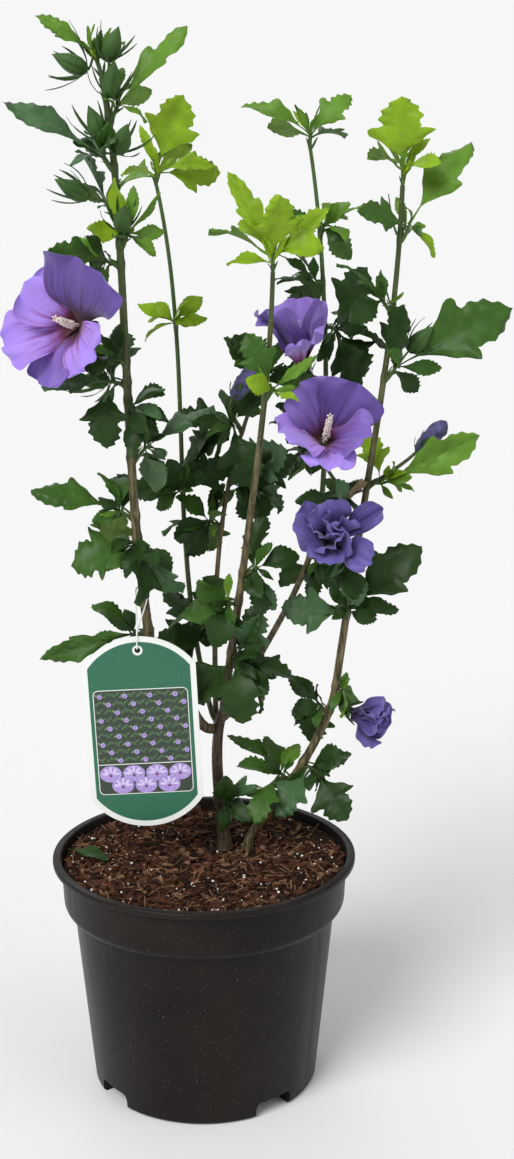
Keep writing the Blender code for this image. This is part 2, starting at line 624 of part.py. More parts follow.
def direction(aim, near):
    a = math.radians(aim)
    n = math.radians(near)
    return Vector((math.sin(a) * math.cos(n), -math.sin(n), math.cos(a) * math.cos(n)))


def loft(rings, tip):
    """Points and faces of a closed body through rings of as many points each that ends in a point."""
    points = [p for ring in rings for p in ring] + [tip]
    sides = len(rings[0])
    last = sides * (len(rings) - 1)
    faces = [tuple(reversed(range(sides)))]
    for i in range(sides):
        j = (i + 1) % sides
        for k in range(0, last, sides):
            faces.append((k + i, k + j, k + sides + j, k + sides + i))
        faces.append((last + i, last + j, len(points) - 1))
    return points, faces


def blade(root, tip, normal, outline, width, thickness, fold, droop):
    """A leaf or petal from root to tip that arches over: a lens section folded up along its rib, or a
    low wedge where it has no fold."""
    chord = tip - root
    length = chord.length
    ahead = chord / length
    up = (normal - ahead * normal.dot(ahead)).normalized()
    side = up.cross(ahead)
    bend = math.radians(max(droop, 1.0))
    lift = math.radians(fold)

    def rib(share):
        turn = bend * share - bend / 2
        forward = (math.sin(turn) + math.sin(bend / 2)) / bend
        rise = (math.cos(turn) - math.cos(bend / 2)) / bend
        return root + length * (ahead * forward + up * rise)

    def raised(share):
        turn = bend * share - bend / 2
        return up * math.cos(turn) + ahead * math.sin(turn)

    rings = []
    for along, edge, half in outline:
        spread = half * length * (width if half > 0.06 else 1.0)
        out = side * (spread * math.cos(lift)) + raised(edge) * (spread * math.sin(lift))
        back = side * (-spread * math.cos(lift)) + raised(edge) * (spread * math.sin(lift))
        thick = raised(along) * (thickness * length / 2)
        ring = (rib(edge) + out, rib(along) + thick, rib(edge) + back, rib(along) - thick)
        rings.append(ring if fold else ring[:3])
    return loft(rings, rib(1.0))


def facing(ahead, near, roll):
    """A leaf's upper side: up, turned part way to the viewer, or away for a leaf at the back."""
    toward = 0.75 if near > -15 else -0.35
    normal = Vector((0.0, -toward, 1.0 - abs(toward) * 0.6))
    return Matrix.Rotation(math.radians(roll), 3, ahead) @ normal


def leaf_shape(root, tip, width, near, roll):
    ahead = (tip - root).normalized()
    normal = facing(ahead, near, roll)
    if (tip - root).length > LOBED_FROM:
        return blade(root, tip, normal, LOBED, width, LEAF_THICKNESS, LEAF_FOLD, LEAF_DROOP)
    return blade(root, tip, normal, PLAIN, width, PLAIN_THICKNESS, 0.0, LEAF_DROOP)


def spindle_shape(foot, ahead, length, radius):
    """A bud: a slim closed oval, four-sided."""
    side = ahead.orthogonal().normalized()
    other = ahead.cross(side)
    rings = []
    for share, size in ((0.0, 0.45), (0.30, 1.0), (0.72, 0.8)):
        centre = foot + ahead * (length * share)
        rings.append([centre + (side * math.cos(a) + other * math.sin(a)) * (radius * size)
                      for a in (0, math.pi / 2, math.pi, 3 * math.pi / 2)])
    return loft(rings, foot + ahead * length)


def petal_shapes(bloom):
    opening, fold, recurve, roll = BLOOM_FORM[bloom.kind]
    axis = direction(bloom.aim, bloom.near)
    side = axis.orthogonal().normalized()
    throat = Vector(bloom.throat)
    shapes = []
    for k in range(PETALS[bloom.kind]):
        turn = math.radians(bloom.turn + 360.0 * k / PETALS[bloom.kind])
        out = Matrix.Rotation(turn, 3, axis) @ side
        o = math.radians(opening)
        ahead = axis * math.cos(o) + out * math.sin(o)
        inner = axis * math.sin(o) - out * math.cos(o)
        inner = Matrix.Rotation(math.radians(roll), 3, ahead) @ inner
        root = throat - axis * PETAL_SINK + out * PETAL_SEAT
        tip = root + ahead * bloom.petal
        shapes.append(blade(root, tip, inner, PETAL, 1.0, PETAL_THICKNESS, fold, recurve))
    return shapes


def smooth_rod(start, leave, end, arrive, radius, steps):
    """Points and radii of a twig that leaves straight along one direction and arrives along another."""
    first = start + leave * TWIG_FOOT
    reach = (end - first).length * 0.4
    bend = (first, first + leave * reach, end - arrive * reach, end)
    points = [start] + [cubic(bend, k / steps) for k in range(steps + 1)]
    return points, [radius] + [radius * (1.0 - 0.25 * k / steps) for k in range(steps + 1)]


Piece = namedtuple("Piece", "points faces")


def rod_piece(points, radii, collection):
    made = tube("rod", points, radii, 0, collection)
    data = evaluated_mesh(made)
    bpy.data.objects.remove(made, do_unlink=True)
    corners = [v.co.copy() for v in data.vertices]
    faces = [tuple(p.vertices) for p in data.polygons]
    bpy.data.meshes.remove(data)
    return Piece(corners, faces)


class Crowding:
    """Everything placed so far, asked whether a new piece would touch what another node holds."""

    def __init__(self):
        self.held = []

    def add(self, owner, points, faces):
        low = Vector([min(p[i] for p in points) - LEAF_CLEARANCE for i in range(3)])
        high = Vector([max(p[i] for p in points) + LEAF_CLEARANCE for i in range(3)])
        self.held.append((owner, BVHTree.FromPolygons(points, faces), low, high))

    def free(self, owner, points, faces):
        low = [min(p[i] for p in points) for i in range(3)]
        high = [max(p[i] for p in points) for i in range(3)]
        own = BVHTree.FromPolygons(points, faces)
        for other, tree, far_low, far_high in self.held:
            if other == owner:
                continue
            if any(low[i] > far_high[i] or high[i] < far_low[i] for i in range(3)):
                continue
            if own.overlap(tree):
                return False
            if any(tree.find_nearest(p, LEAF_CLEARANCE)[0] is not None for p in points):
                return False
        return True


def mass_foot(mass, paths):
    """Where a mass leaves its limb: the limb's axis point, the foot of its stem and the way it sets out."""
    path = paths[mass.limb]
    if mass.height is None:
        axis_point, along, _ = path.end()
        return axis_point, axis_point + along * GAP, along
    axis_point, along, radius = path.at_height(mass.height)
    out = away_from(axis_point + direction(mass.aim, mass.near), axis_point, along)
    return axis_point, axis_point + out * (radius + FOOT_GAP), out


def bloom_pieces(bloom, collection):
    """A flower beyond its stalk: calyx, petals and column, or a spent bloom rolled shut."""
    axis = direction(bloom.aim, bloom.near)
    throat = Vector(bloom.throat)
    if bloom.kind == "rolled":
        return [Piece(*spindle_shape(throat, axis, bloom.petal, bloom.petal * ROLLED_GIRTH))]
    base = throat - axis * CALYX_LENGTH
    pieces = [Piece(*spindle_shape(base, axis, CALYX_LENGTH * CALYX_SHARE, CALYX_RADIUS))]
    pieces += [Piece(*shape) for shape in petal_shapes(bloom)]
    if bloom.kind in WITH_COLUMN:
        run = [throat + axis * (COLUMN_LENGTH * share) for share in (-0.07, 0.6, 1.0)]
        pieces.append(rod_piece(run, [COLUMN_RADIUS * size for size in (0.8, 1.0, 1.25)], collection))
    return pieces


def mass_stem(mass, axis_point, foot, leave, collection):
    """The stem's piece and where its leaves root: past the second point of a flower's stalk, or its tip."""
    if mass.bloom:
        axis = direction(mass.bloom.aim, mass.bloom.near)
        reach = STALK_SINK if mass.bloom.kind == "rolled" else STALK_SINK - CALYX_LENGTH
        end = Vector(mass.bloom.throat) + axis * reach
        points, radii = smooth_rod(foot, leave, end, axis, STEM_RADIUS, 4)
        return rod_piece(points, radii, collection), points[2]
    lean = direction(mass.aim, mass.near)
    tip = axis_point + lean * mass.stem
    points, radii = smooth_rod(foot, leave, tip, lean, STEM_RADIUS, 2)
    return rod_piece(points, radii, collection), tip


def bud_pieces(way, end, root, along, collection):
    """A bud that ends at a point, on a thin stalk from the mass's stem."""
    bud_foot = end - way * BUD_LENGTH
    points, radii = smooth_rod(root, along, bud_foot + way * BUD_SINK, way, SIDE_RADIUS, 2)
    return [rod_piece(points, radii, collection),
            Piece(*spindle_shape(bud_foot, way, BUD_LENGTH, BUD_RADIUS))]


def start_mass(mass, paths, crowding, collection):
    """A mass's stem, bloom, buds and leading leaves. It returns its pieces and the stem's two ends."""
    axis_point, foot, leave = mass_foot(mass, paths)
    stem, tip = mass_stem(mass, axis_point, foot, leave, collection)
    along = (tip - foot).normalized()
    pieces = [stem]
    if mass.bloom:
        pieces += bloom_pieces(mass.bloom, collection)
    for aim, near, reach in mass.buds:
        way = direction(aim, near)
        bud = bud_pieces(way, axis_point + way * reach, tip - along * ROOT_SINK, along, collection)
        if all(crowding.free(mass.name, *piece) for piece in bud):
            pieces += bud
    for piece in pieces:
        crowding.add(mass.name, *piece)
    draw = random.Random(mass.name)
    for number, (aim, near, reach, width) in enumerate(mass.leads):
        root = tip - along * (ROOT_SINK / 2 + ROOT_SPACING * number)
        for tries in range(LEAD_TRIES):
            swing = (1 if tries % 2 else -1) * LEAD_SWING * ((tries + 1) // 2)
            leaf_tip = axis_point + direction(aim, near + swing) * reach
            roll = draw.uniform(-18, 18)
            leaf = Piece(*leaf_shape(root, leaf_tip, width, near + swing, roll))
            if crowding.free(mass.name, *leaf):
                pieces.append(leaf)
                crowding.add(mass.name, *leaf)
                break
    return pieces, foot, tip


def fill_mass(mass, foot, tip, crowding):
    """The leaves that the seeded rule adds: smaller, to either side in turn, spread to the back as well."""
    draw = random.Random(mass.name + " more")
    longest = max([lead[2] for lead in mass.leads], default=0.0)
    size = min(max(longest * FOLLOWER_SHARE, FOLLOWER_LEAST), FOLLOWER_MOST)
    found = []
    for number in range(mass.more):
        side = 1 if number % 2 else -1
        for _ in range(FOLLOWER_TRIES):
            aim = mass.aim + side * draw.uniform(35, 110)
            near = draw.uniform(-65, 45)
            length = size * draw.uniform(0.75, 1.1) * FOLLOWER_SHRINK**number
            root = foot.lerp(tip, draw.uniform(0.55, 0.9))
            leaf_tip = root + direction(aim, near) * length
            roll = draw.uniform(-25, 25)
            width = draw.uniform(0.9, 1.3)
            leaf = Piece(*leaf_shape(root, leaf_tip, width, near, roll))
            if crowding.free(mass.name, *leaf):
                found.append(leaf)
                crowding.add(mass.name, *leaf)
                break
    return found


def join(name, pieces, collection, helpers, finish_name):
    """One closed body from a mass's pieces, by a Boolean union of the first with all the others."""
    first = add_object(name, mesh_of(name, pieces[0].points, pieces[0].faces), collection)
    others = new_collection(name + "_pieces", helpers)
    for number, piece in enumerate(pieces[1:]):
        add_object(f"{name}_piece_{number}", mesh_of(name, piece.points, piece.faces), others)
    union = first.modifiers.new("union", "BOOLEAN")
    union.operation = "UNION"
    union.operand_type = "COLLECTION"
    union.collection = others
    graph = bpy.context.evaluated_depsgraph_get()
    joined = bpy.data.meshes.new_from_object(first.evaluated_get(graph))
    bpy.data.objects.remove(first, do_unlink=True)
    for obj in list(others.objects):
        bpy.data.objects.remove(obj, do_unlink=True)
    bpy.data.collections.remove(others)
    keep_largest(joined)
    joined.materials.clear()
    shade_round(joined)
    return add_object(name, joined, collection, finish_name)


def keep_largest(data):
    """Drops any scrap that the union left loose."""
    shape = bmesh.new()
    shape.from_mesh(data)
    islands = []
    left = set(shape.verts)
    while left:
        group = {left.pop()}
        edge = list(group)
        while edge:
            vert = edge.pop()
            for link in vert.link_edges:
                other = link.other_vert(vert)
                if other in left:
                    left.remove(other)
                    group.add(other)
                    edge.append(other)
        islands.append(group)
    islands.sort(key=len)
    for group in islands[:-1]:
        bmesh.ops.delete(shape, geom=list(group), context="VERTS")
    shape.to_mesh(data)
    shape.free()


def make_masses(collection, helpers, paths, solids):
    crowding = Crowding()
    for solid in solids:
        data = evaluated_mesh(solid)
        points = [v.co.copy() for v in data.vertices]
        crowding.add(solid.name, points, [tuple(p.vertices) for p in data.polygons])
        bpy.data.meshes.remove(data)
    begun = [(mass, *start_mass(mass, paths, crowding, helpers)) for mass in MASSES]
    for mass, pieces, foot, tip in begun:
        pieces += fill_mass(mass, foot, tip, crowding)
        colour = "petal" if mass.bloom and mass.bloom.kind != "rolled" else mass.tone
        join(mass.name, pieces, collection, helpers, colour)


def main():
    clear_scene()
    plant = new_collection("potted_rose_of_sharon")
    helpers = new_collection("helpers")
    helpers.hide_render = True
    make_pot(plant, helpers)
    make_soil(plant)
    paths = make_limbs(plant)
    make_label(plant)
    make_loop(plant, paths)
    make_masses(plant, helpers, paths, list(plant.objects))


main()
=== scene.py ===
"""The looks of a potted rose of sharon: nursery pot, potting mix, stems, leaves, buds, blooms and label.

Metres, +Z up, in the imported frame. The viewer stands at -Y. An aim is an angle in degrees, clockwise
from straight up as the viewer sees it, and near is the angle that a direction leans toward the viewer.
"""

import json
import math
import random
from collections import namedtuple
from functools import cache

import bmesh
import bpy
import numpy as np
from mathutils import Matrix, Vector, noise
from mathutils.bvhtree import BVHTree

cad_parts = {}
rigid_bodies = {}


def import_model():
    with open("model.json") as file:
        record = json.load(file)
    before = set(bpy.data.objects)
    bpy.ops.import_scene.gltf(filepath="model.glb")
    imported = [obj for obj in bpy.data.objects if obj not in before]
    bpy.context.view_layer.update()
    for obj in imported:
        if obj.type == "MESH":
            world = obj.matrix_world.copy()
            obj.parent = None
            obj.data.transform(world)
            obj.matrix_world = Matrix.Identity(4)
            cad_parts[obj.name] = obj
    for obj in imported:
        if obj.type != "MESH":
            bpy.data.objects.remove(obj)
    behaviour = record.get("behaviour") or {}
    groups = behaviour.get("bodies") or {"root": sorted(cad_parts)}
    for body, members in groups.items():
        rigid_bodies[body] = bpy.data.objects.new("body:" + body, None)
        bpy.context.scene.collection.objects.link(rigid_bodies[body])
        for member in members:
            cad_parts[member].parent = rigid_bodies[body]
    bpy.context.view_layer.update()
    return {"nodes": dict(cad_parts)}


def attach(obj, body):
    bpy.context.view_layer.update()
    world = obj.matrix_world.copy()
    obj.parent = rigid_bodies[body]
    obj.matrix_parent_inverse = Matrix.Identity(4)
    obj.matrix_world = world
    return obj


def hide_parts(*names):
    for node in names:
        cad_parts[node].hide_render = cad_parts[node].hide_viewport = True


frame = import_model()


# The nursery pot: one thin-walled moulding of black plastic, with a turned-out lip, a collar for the
# next pot to stack in, a tapering body, and a foot ring that is notched so that water drains.
POT_STEPS = 128
POT_HEIGHT = 0.181
POT_WALL = 0.0024
LIP_RADIUS = 0.115
LIP_DEPTH = 0.0045
LIP_THICKNESS = 0.003
COLLAR_TOP_RADIUS = 0.1086
COLLAR_FOOT_RADIUS = 0.1072
COLLAR_FOOT_HEIGHT = 0.148
BODY_TOP_RADIUS = 0.0992
BODY_TOP_HEIGHT = 0.136
BODY_FOOT_RADIUS = 0.0862
FOOT_RADIUS = 0.0847
FOOT_EASE_HEIGHT = 0.0025
FOOT_RING_INSIDE = 0.066
DISC_RADIUS = 0.050
UNDERSIDE_RECESS = 0.005
POT_FLOOR = 0.016
INSIDE_LEVELS = (0.016, 0.060, 0.100, 0.136, 0.148, 0.156, 0.165)
NOTCH_COUNT = 4
NOTCH_FIRST_TURN = 38.0
NOTCH_WIDTH = 0.032
NOTCH_HEIGHT = 0.0125
NOTCH_DEPTH = 0.024
NOTCH_ROUND = 0.005
LIP_EASE = 0.0016
SHOULDER_EASE = 0.0022
FOOT_EASE = 0.0018
SMOOTH_TO = 35.0


def new_material(name, colour, roughness, **sockets):
    """A material with its Principled shader's own sockets set."""
    made = bpy.data.materials.new(name)
    made.use_nodes = True
    shader = made.node_tree.nodes["Principled BSDF"]
    shader.inputs["Base Color"].default_value = (*colour, 1.0)
    shader.inputs["Roughness"].default_value = roughness
    for socket, value in sockets.items():
        shader.inputs[socket.replace("_", " ")].default_value = value
    return made


def new_group(name, inputs, output, kind):
    """An empty shader node group with number or vector inputs and one output."""
    group = bpy.data.node_groups.new(name, "ShaderNodeTree")
    for title, value in inputs.items():
        socket = "NodeSocketVector" if value is None else "NodeSocketFloat"
        made = group.interface.new_socket(title, in_out="INPUT", socket_type=socket)
        if value is not None:
            made.default_value = value
    group.interface.new_socket(output, in_out="OUTPUT", socket_type=kind)
    return group, group.nodes.new("NodeGroupInput"), group.nodes.new("NodeGroupOutput")


def mottle_group():
    """Soft blotches: a mask from 0 to 1 where a noise passes from Low to High."""
    inputs = {"Vector": None, "Scale": 40.0, "Detail": 3.0, "Low": 0.4, "High": 0.6}
    group, given, result = new_group("mottle", inputs, "Mask", "NodeSocketFloat")
    blotches = group.nodes.new("ShaderNodeTexNoise")
    spread = group.nodes.new("ShaderNodeMapRange")
    link = group.links.new
    link(given.outputs["Vector"], blotches.inputs["Vector"])
    link(given.outputs["Scale"], blotches.inputs["Scale"])
    link(given.outputs["Detail"], blotches.inputs["Detail"])
    link(blotches.outputs["Fac"], spread.inputs["Value"])
    link(given.outputs["Low"], spread.inputs["From Min"])
    link(given.outputs["High"], spread.inputs["From Max"])
    link(spread.outputs["Result"], result.inputs["Mask"])
    return group


def relief_group():
    """Fine surface relief: a normal bumped by a noise."""
    inputs = {"Vector": None, "Scale": 400.0, "Strength": 0.2, "Distance": 0.0004}
    group, given, result = new_group("relief", inputs, "Normal", "NodeSocketVector")
    bumps = group.nodes.new("ShaderNodeTexNoise")
    bumps.inputs["Detail"].default_value = 4.0
    lift = group.nodes.new("ShaderNodeBump")
    link = group.links.new
    link(given.outputs["Vector"], bumps.inputs["Vector"])
    link(given.outputs["Scale"], bumps.inputs["Scale"])
    link(bumps.outputs["Fac"], lift.inputs["Height"])
    link(given.outputs["Strength"], lift.inputs["Strength"])
    link(given.outputs["Distance"], lift.inputs["Distance"])
    link(lift.outputs["Normal"], result.inputs["Normal"])
    return group


MOTTLE = mottle_group()
RELIEF = relief_group()


class Finish:
    """A material's node tree, with the few nodes that every finish here is put together from."""

    def __init__(self, material):
        self.tree = material.node_tree
        self.shader = self.tree.nodes["Principled BSDF"]
        self.place = self.tree.nodes.new("ShaderNodeTexCoord").outputs["Object"]

    def node(self, kind, **settings):
        made = self.tree.nodes.new(kind)
        for name, value in settings.items():
            setattr(made, name, value)
        return made

    def link(self, start, end):
        self.tree.links.new(start, end)

    def group(self, group, vector=None, **values):
        made = self.node("ShaderNodeGroup", node_tree=group)
        self.link(vector or self.place, made.inputs["Vector"])
        for name, value in values.items():
            made.inputs[name].default_value = value
        return made.outputs[0]

    def stretched(self, scale, vector=None):
        """The piece's own coordinates, or others, stretched along an axis to draw a pattern out."""
        made = self.node("ShaderNodeMapping")
        self.link(vector or self.place, made.inputs["Vector"])
        made.inputs["Scale"].default_value = scale
        return made.outputs["Vector"]

    def part(self, vector, name):
        """One of a vector's three numbers."""
        made = self.node("ShaderNodeSeparateXYZ")
        self.link(vector, made.inputs[0])
        return made.outputs[name]

    def blend(self, first, second, mask):
        """A colour between two colours or sockets, by a mask."""
        made = self.node("ShaderNodeMix", data_type="RGBA")
        for socket, value in zip((made.inputs[6], made.inputs[7]), (first, second)):
            if isinstance(value, tuple):
                socket.default_value = (*value, 1.0)
            else:
                self.link(value, socket)
        self.link(mask, made.inputs[0])
        return made.outputs[2]

    def between(self, value, low, high, start=0.0, end=1.0):
        """A value carried from one range to another, held at its ends."""
        made = self.node("ShaderNodeMapRange")
        self.link(value, made.inputs["Value"])
        made.inputs["From Min"].default_value = low
        made.inputs["From Max"].default_value = high
        made.inputs["To Min"].default_value = start
        made.inputs["To Max"].default_value = end
        return made.outputs["Result"]

    def colour(self, socket):
        self.link(socket, self.shader.inputs["Base Color"])

    def roughness(self, mask, low, high):
        self.link(self.between(mask, 0.0, 1.0, low, high), self.shader.inputs["Roughness"])

    def relief(self, vector=None, **values):
        self.link(self.group(RELIEF, vector, **values), self.shader.inputs["Normal"])


def toned(colour, share):
    """A colour made darker or lighter by a share, and held at full."""
    return tuple(min(c * share, 1.0) for c in colour)


def mottled(name, base, roughness, dark, light, blotches, relief=None, gloss=None, **sockets):
    """A material in soft blotches of a dark and a light colour, with fine relief and gloss if given."""
    made = new_material(name, base, roughness, **sockets)
    look = Finish(made)
    mask = look.group(MOTTLE, **blotches)
    look.colour(look.blend(dark, light, mask))
    if gloss:
        look.roughness(mask, *gloss)
    if relief:
        look.relief(**relief)
    return made


def add_piece(name, data, materials, stands_for=()):
    """A piece of the plant or pot, made from a mesh: it rides on the body and may stand for CAD nodes."""
    made = bpy.data.objects.new(name, data)
    bpy.context.scene.collection.objects.link(made)
    for material in materials:
        data.materials.append(material)
    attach(made, "root")
    if stands_for:
        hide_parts(*stands_for)
    return made


def mesh_from(shape, name, sharp_angle=SMOOTH_TO):
    """A smooth-shaded mesh from a bmesh whose doubles are merged and whose faces point out."""
    bmesh.ops.remove_doubles(shape, verts=shape.verts, dist=1e-6)
    bmesh.ops.recalc_face_normals(shape, faces=shape.faces)
    data = bpy.data.meshes.new(name)
    shape.to_mesh(data)
    shape.free()
    data.shade_smooth()
    data.set_sharp_from_angle(angle=math.radians(sharp_angle))
    return data


def arc(centre, radius, start, end, steps):
    """Points round an arc in a profile, from the start angle to the end angle in degrees."""
    turns = [math.radians(start + (end - start) * k / steps) for k in range(steps + 1)]
    return [(centre[0] + radius * math.cos(a), centre[1] + radius * math.sin(a)) for a in turns]


def spun(profile, steps):
    """A bmesh turned about Z from a profile of radius and height that starts and ends on the axis."""
    shape = bmesh.new()
    verts = [shape.verts.new((r, 0.0, z)) for r, z in profile]
    edges = [shape.edges.new(pair) for pair in zip(verts, verts[1:])]
    bmesh.ops.spin(shape, geom=verts + edges, axis=(0, 0, 1), cent=(0, 0, 0), dvec=(0, 0, 0),
                   angle=math.tau, steps=steps, use_merge=True, use_duplicate=False)
    bmesh.ops.remove_doubles(shape, verts=shape.verts, dist=1e-6)
    return shape


def pot_outside():
    """The wall's outer side from under the lip to the foot."""
    shoulder = COLLAR_FOOT_RADIUS - BODY_TOP_RADIUS
    collar_top = POT_HEIGHT - LIP_DEPTH - LIP_EASE
    body = [(BODY_TOP_RADIUS + (BODY_FOOT_RADIUS - BODY_TOP_RADIUS) * k / 8,
             BODY_TOP_HEIGHT + (FOOT_EASE_HEIGHT - BODY_TOP_HEIGHT) * k / 8) for k in range(9)]
    return [
        *arc((COLLAR_TOP_RADIUS + LIP_EASE, collar_top), LIP_EASE, 90, 180, 4),
        *[(COLLAR_TOP_RADIUS + (COLLAR_FOOT_RADIUS - COLLAR_TOP_RADIUS) * k / 4,
           collar_top - (collar_top - COLLAR_FOOT_HEIGHT) * k / 4) for k in range(1, 4)],
        *arc((BODY_TOP_RADIUS, COLLAR_FOOT_HEIGHT), shoulder, 0, -74, 8),
        *arc((BODY_TOP_RADIUS + SHOULDER_EASE, BODY_TOP_HEIGHT + SHOULDER_EASE),
             SHOULDER_EASE, 110, 180, 3),
        *body[1:-1],
        *arc((BODY_FOOT_RADIUS - FOOT_EASE, FOOT_EASE_HEIGHT + 0.0005), FOOT_EASE, 0, -80, 4),
    ]


def pot_inside_radius(height):
    """The inner wall's radius at a height, one wall inside the outer outline."""
    shoulder = COLLAR_FOOT_RADIUS - BODY_TOP_RADIUS
    if height >= COLLAR_FOOT_HEIGHT:
        return COLLAR_FOOT_RADIUS + (COLLAR_TOP_RADIUS - COLLAR_FOOT_RADIUS) * (
            height - COLLAR_FOOT_HEIGHT) / (POT_HEIGHT - COLLAR_FOOT_HEIGHT) - POT_WALL
    if height >= BODY_TOP_HEIGHT:
        share = (height - BODY_TOP_HEIGHT) / (COLLAR_FOOT_HEIGHT - BODY_TOP_HEIGHT)
        return BODY_TOP_RADIUS + shoulder * share - POT_WALL
    return BODY_FOOT_RADIUS + (BODY_TOP_RADIUS - BODY_FOOT_RADIUS) * height / BODY_TOP_HEIGHT - POT_WALL


def pot_shape():
    """The whole pot, turned from one profile: inside, lip, outer side and underside."""
    inside = [(pot_inside_radius(z), z) for z in INSIDE_LEVELS]
    lip_foot = POT_HEIGHT - LIP_DEPTH
    lip = [
        *arc((LIP_RADIUS - LIP_THICKNESS - 0.0022, POT_HEIGHT - 0.0012), 0.0012, 180, 90, 3),
        *arc((LIP_RADIUS - 0.0013, POT_HEIGHT - 0.0013), 0.0013, 90, 0, 5),
        *arc((LIP_RADIUS - 0.0009, lip_foot + 0.0009), 0.0009, 0, -90, 3),
        (LIP_RADIUS - 0.0016, lip_foot),
        (LIP_RADIUS - 0.0022, lip_foot + 0.0012),
        (COLLAR_TOP_RADIUS + 0.0018, lip_foot + 0.0010),
    ]
    underside = [
        (FOOT_RADIUS - 0.0010, 0.0),
        (FOOT_RING_INSIDE, 0.0),
        (FOOT_RING_INSIDE - 0.001, UNDERSIDE_RECESS),
        (DISC_RADIUS + 0.001, UNDERSIDE_RECESS),
        (DISC_RADIUS, 0.0),
        (0.0, 0.0),
    ]
    return spun([(0.0, POT_FLOOR), *inside, *lip, *pot_outside(), *underside], POT_STEPS)


def cut_notches(pot):
    """Cuts the drainage notches out of the foot ring with rounded blocks."""
    for k in range(NOTCH_COUNT):
        turn = math.radians(NOTCH_FIRST_TURN + k * 360.0 / NOTCH_COUNT)
        shape = bmesh.new()
        bmesh.ops.create_cube(shape, size=1.0)
        bmesh.ops.scale(shape, vec=(NOTCH_WIDTH, 2 * NOTCH_DEPTH, 2 * NOTCH_HEIGHT), verts=shape.verts)
        bmesh.ops.bevel(shape, geom=shape.edges[:], offset=NOTCH_ROUND, affect="EDGES", segments=4,
                        profile=0.5, material=-1)
        bmesh.ops.rotate(shape, cent=(0, 0, 0), matrix=Matrix.Rotation(turn, 3, "Z"), verts=shape.verts)
        out = Vector((math.sin(turn), -math.cos(turn), 0.0)) * FOOT_RADIUS
        bmesh.ops.translate(shape, vec=out, verts=shape.verts)
        cutter = bpy.data.objects.new("notch_cutter", mesh_from(shape, "notch_cutter"))
        bpy.context.scene.collection.objects.link(cutter)
        cut = pot.modifiers.new("notch", "BOOLEAN")
        cut.operation = "DIFFERENCE"
        cut.object = cutter
        graph = bpy.context.evaluated_depsgraph_get()
        data = bpy.data.meshes.new_from_object(pot.evaluated_get(graph))
        pot.modifiers.clear()
        pot.data = data
        bpy.data.objects.remove(cutter, do_unlink=True)


def pot_plastic():
    """Black-brown plastic with a satin skin, faint flow marks down the wall and dust caught in specks."""
    made = new_material("pot_plastic", (0.008, 0.006, 0.005), 0.42, Specular_IOR_Level=0.15)
    look = Finish(made)
    dust = look.group(MOTTLE, Scale=900.0, Detail=1.0, Low=0.735, High=0.76)
    haze = look.group(MOTTLE, Scale=11.0, Detail=4.0, Low=0.35, High=0.75)
    flow = look.group(MOTTLE, look.stretched((60.0, 60.0, 3.0)), Scale=1.0, Detail=2.0, Low=0.4, High=0.7)
    skin = look.blend((0.0070, 0.0052, 0.0045), (0.0150, 0.0118, 0.0100), haze)
    look.colour(look.blend(skin, (0.13, 0.11, 0.095), dust))
    look.roughness(flow, 0.36, 0.47)
    look.relief(look.stretched((1.0, 1.0, 0.4)), Scale=260.0, Strength=0.12, Distance=0.0003)
    return made


pot = add_piece("nursery_pot", mesh_from(pot_shape(), "nursery_pot"), [pot_plastic()], ["pot"])
cut_notches(pot)
pot.data.shade_smooth()
pot.data.set_sharp_from_angle(angle=math.radians(SMOOTH_TO))


# The potting mix: moist bark, coir and peat, rough on top and slightly raised toward the lip. Bark
# chips, crumbs, coir fibres and white perlite lie on it, each kind thrown on by a seeded rule.
SOIL_STEPS = 110
SOIL_LEVEL = 0.170
SOIL_EDGE = 0.1755
SOIL_FLAT_RADIUS = 0.050
SOIL_RADIUS = LIP_RADIUS - LIP_THICKNESS - 0.0055
SOIL_RINGS = 44
SOIL_FOOT = 0.0165
SOIL_CLEAR = 0.0007
SOIL_TOP_FROM = 0.166
THROW_EDGE = 0.003


def soil_height(x, y):
    """The height of the mix at a place: the source's dished top with lumps of a few millimetres."""
    radius = math.hypot(x, y)
    slope = min(max((radius - SOIL_FLAT_RADIUS) / (SOIL_RADIUS - SOIL_FLAT_RADIUS), 0.0), 1.0)
    lumps = noise.fractal(Vector((x * 55, y * 55, 3.0)), 0.9, 2.1, 4) * 0.0020
    clods = noise.noise(Vector((x * 22, y * 22, 9.0))) * 0.0024
    return SOIL_LEVEL + (SOIL_EDGE - SOIL_LEVEL) * slope * 0.9 + (lumps + clods) * (1.0 - 0.4 * slope)


def soil_shape():
    """The mix as one closed body, turned from a profile, with its top raised to the rough surface."""
    top = [(SOIL_RADIUS * k / SOIL_RINGS, SOIL_LEVEL) for k in range(SOIL_RINGS + 1)]
    wall = [(pot_inside_radius(z) - SOIL_CLEAR, max(z, SOIL_FOOT)) for z in reversed(INSIDE_LEVELS)]
    shape = spun([*top, *wall, (0.0, SOIL_FOOT)], SOIL_STEPS)
    for vert in shape.verts:
        if vert.co.z > SOIL_TOP_FROM:
            vert.co.z = soil_height(vert.co.x, vert.co.y)
    return shape


def soil_material(name, dark, light):
    """Moist, dull and rough, as peat, bark, coir and perlite all are."""
    return mottled(name, dark, 0.9, dark, light, dict(Scale=160.0, Detail=4.0, Low=0.38, High=0.62),
                   dict(Scale=700.0, Strength=0.7, Distance=0.0008), Specular_IOR_Level=0.15)


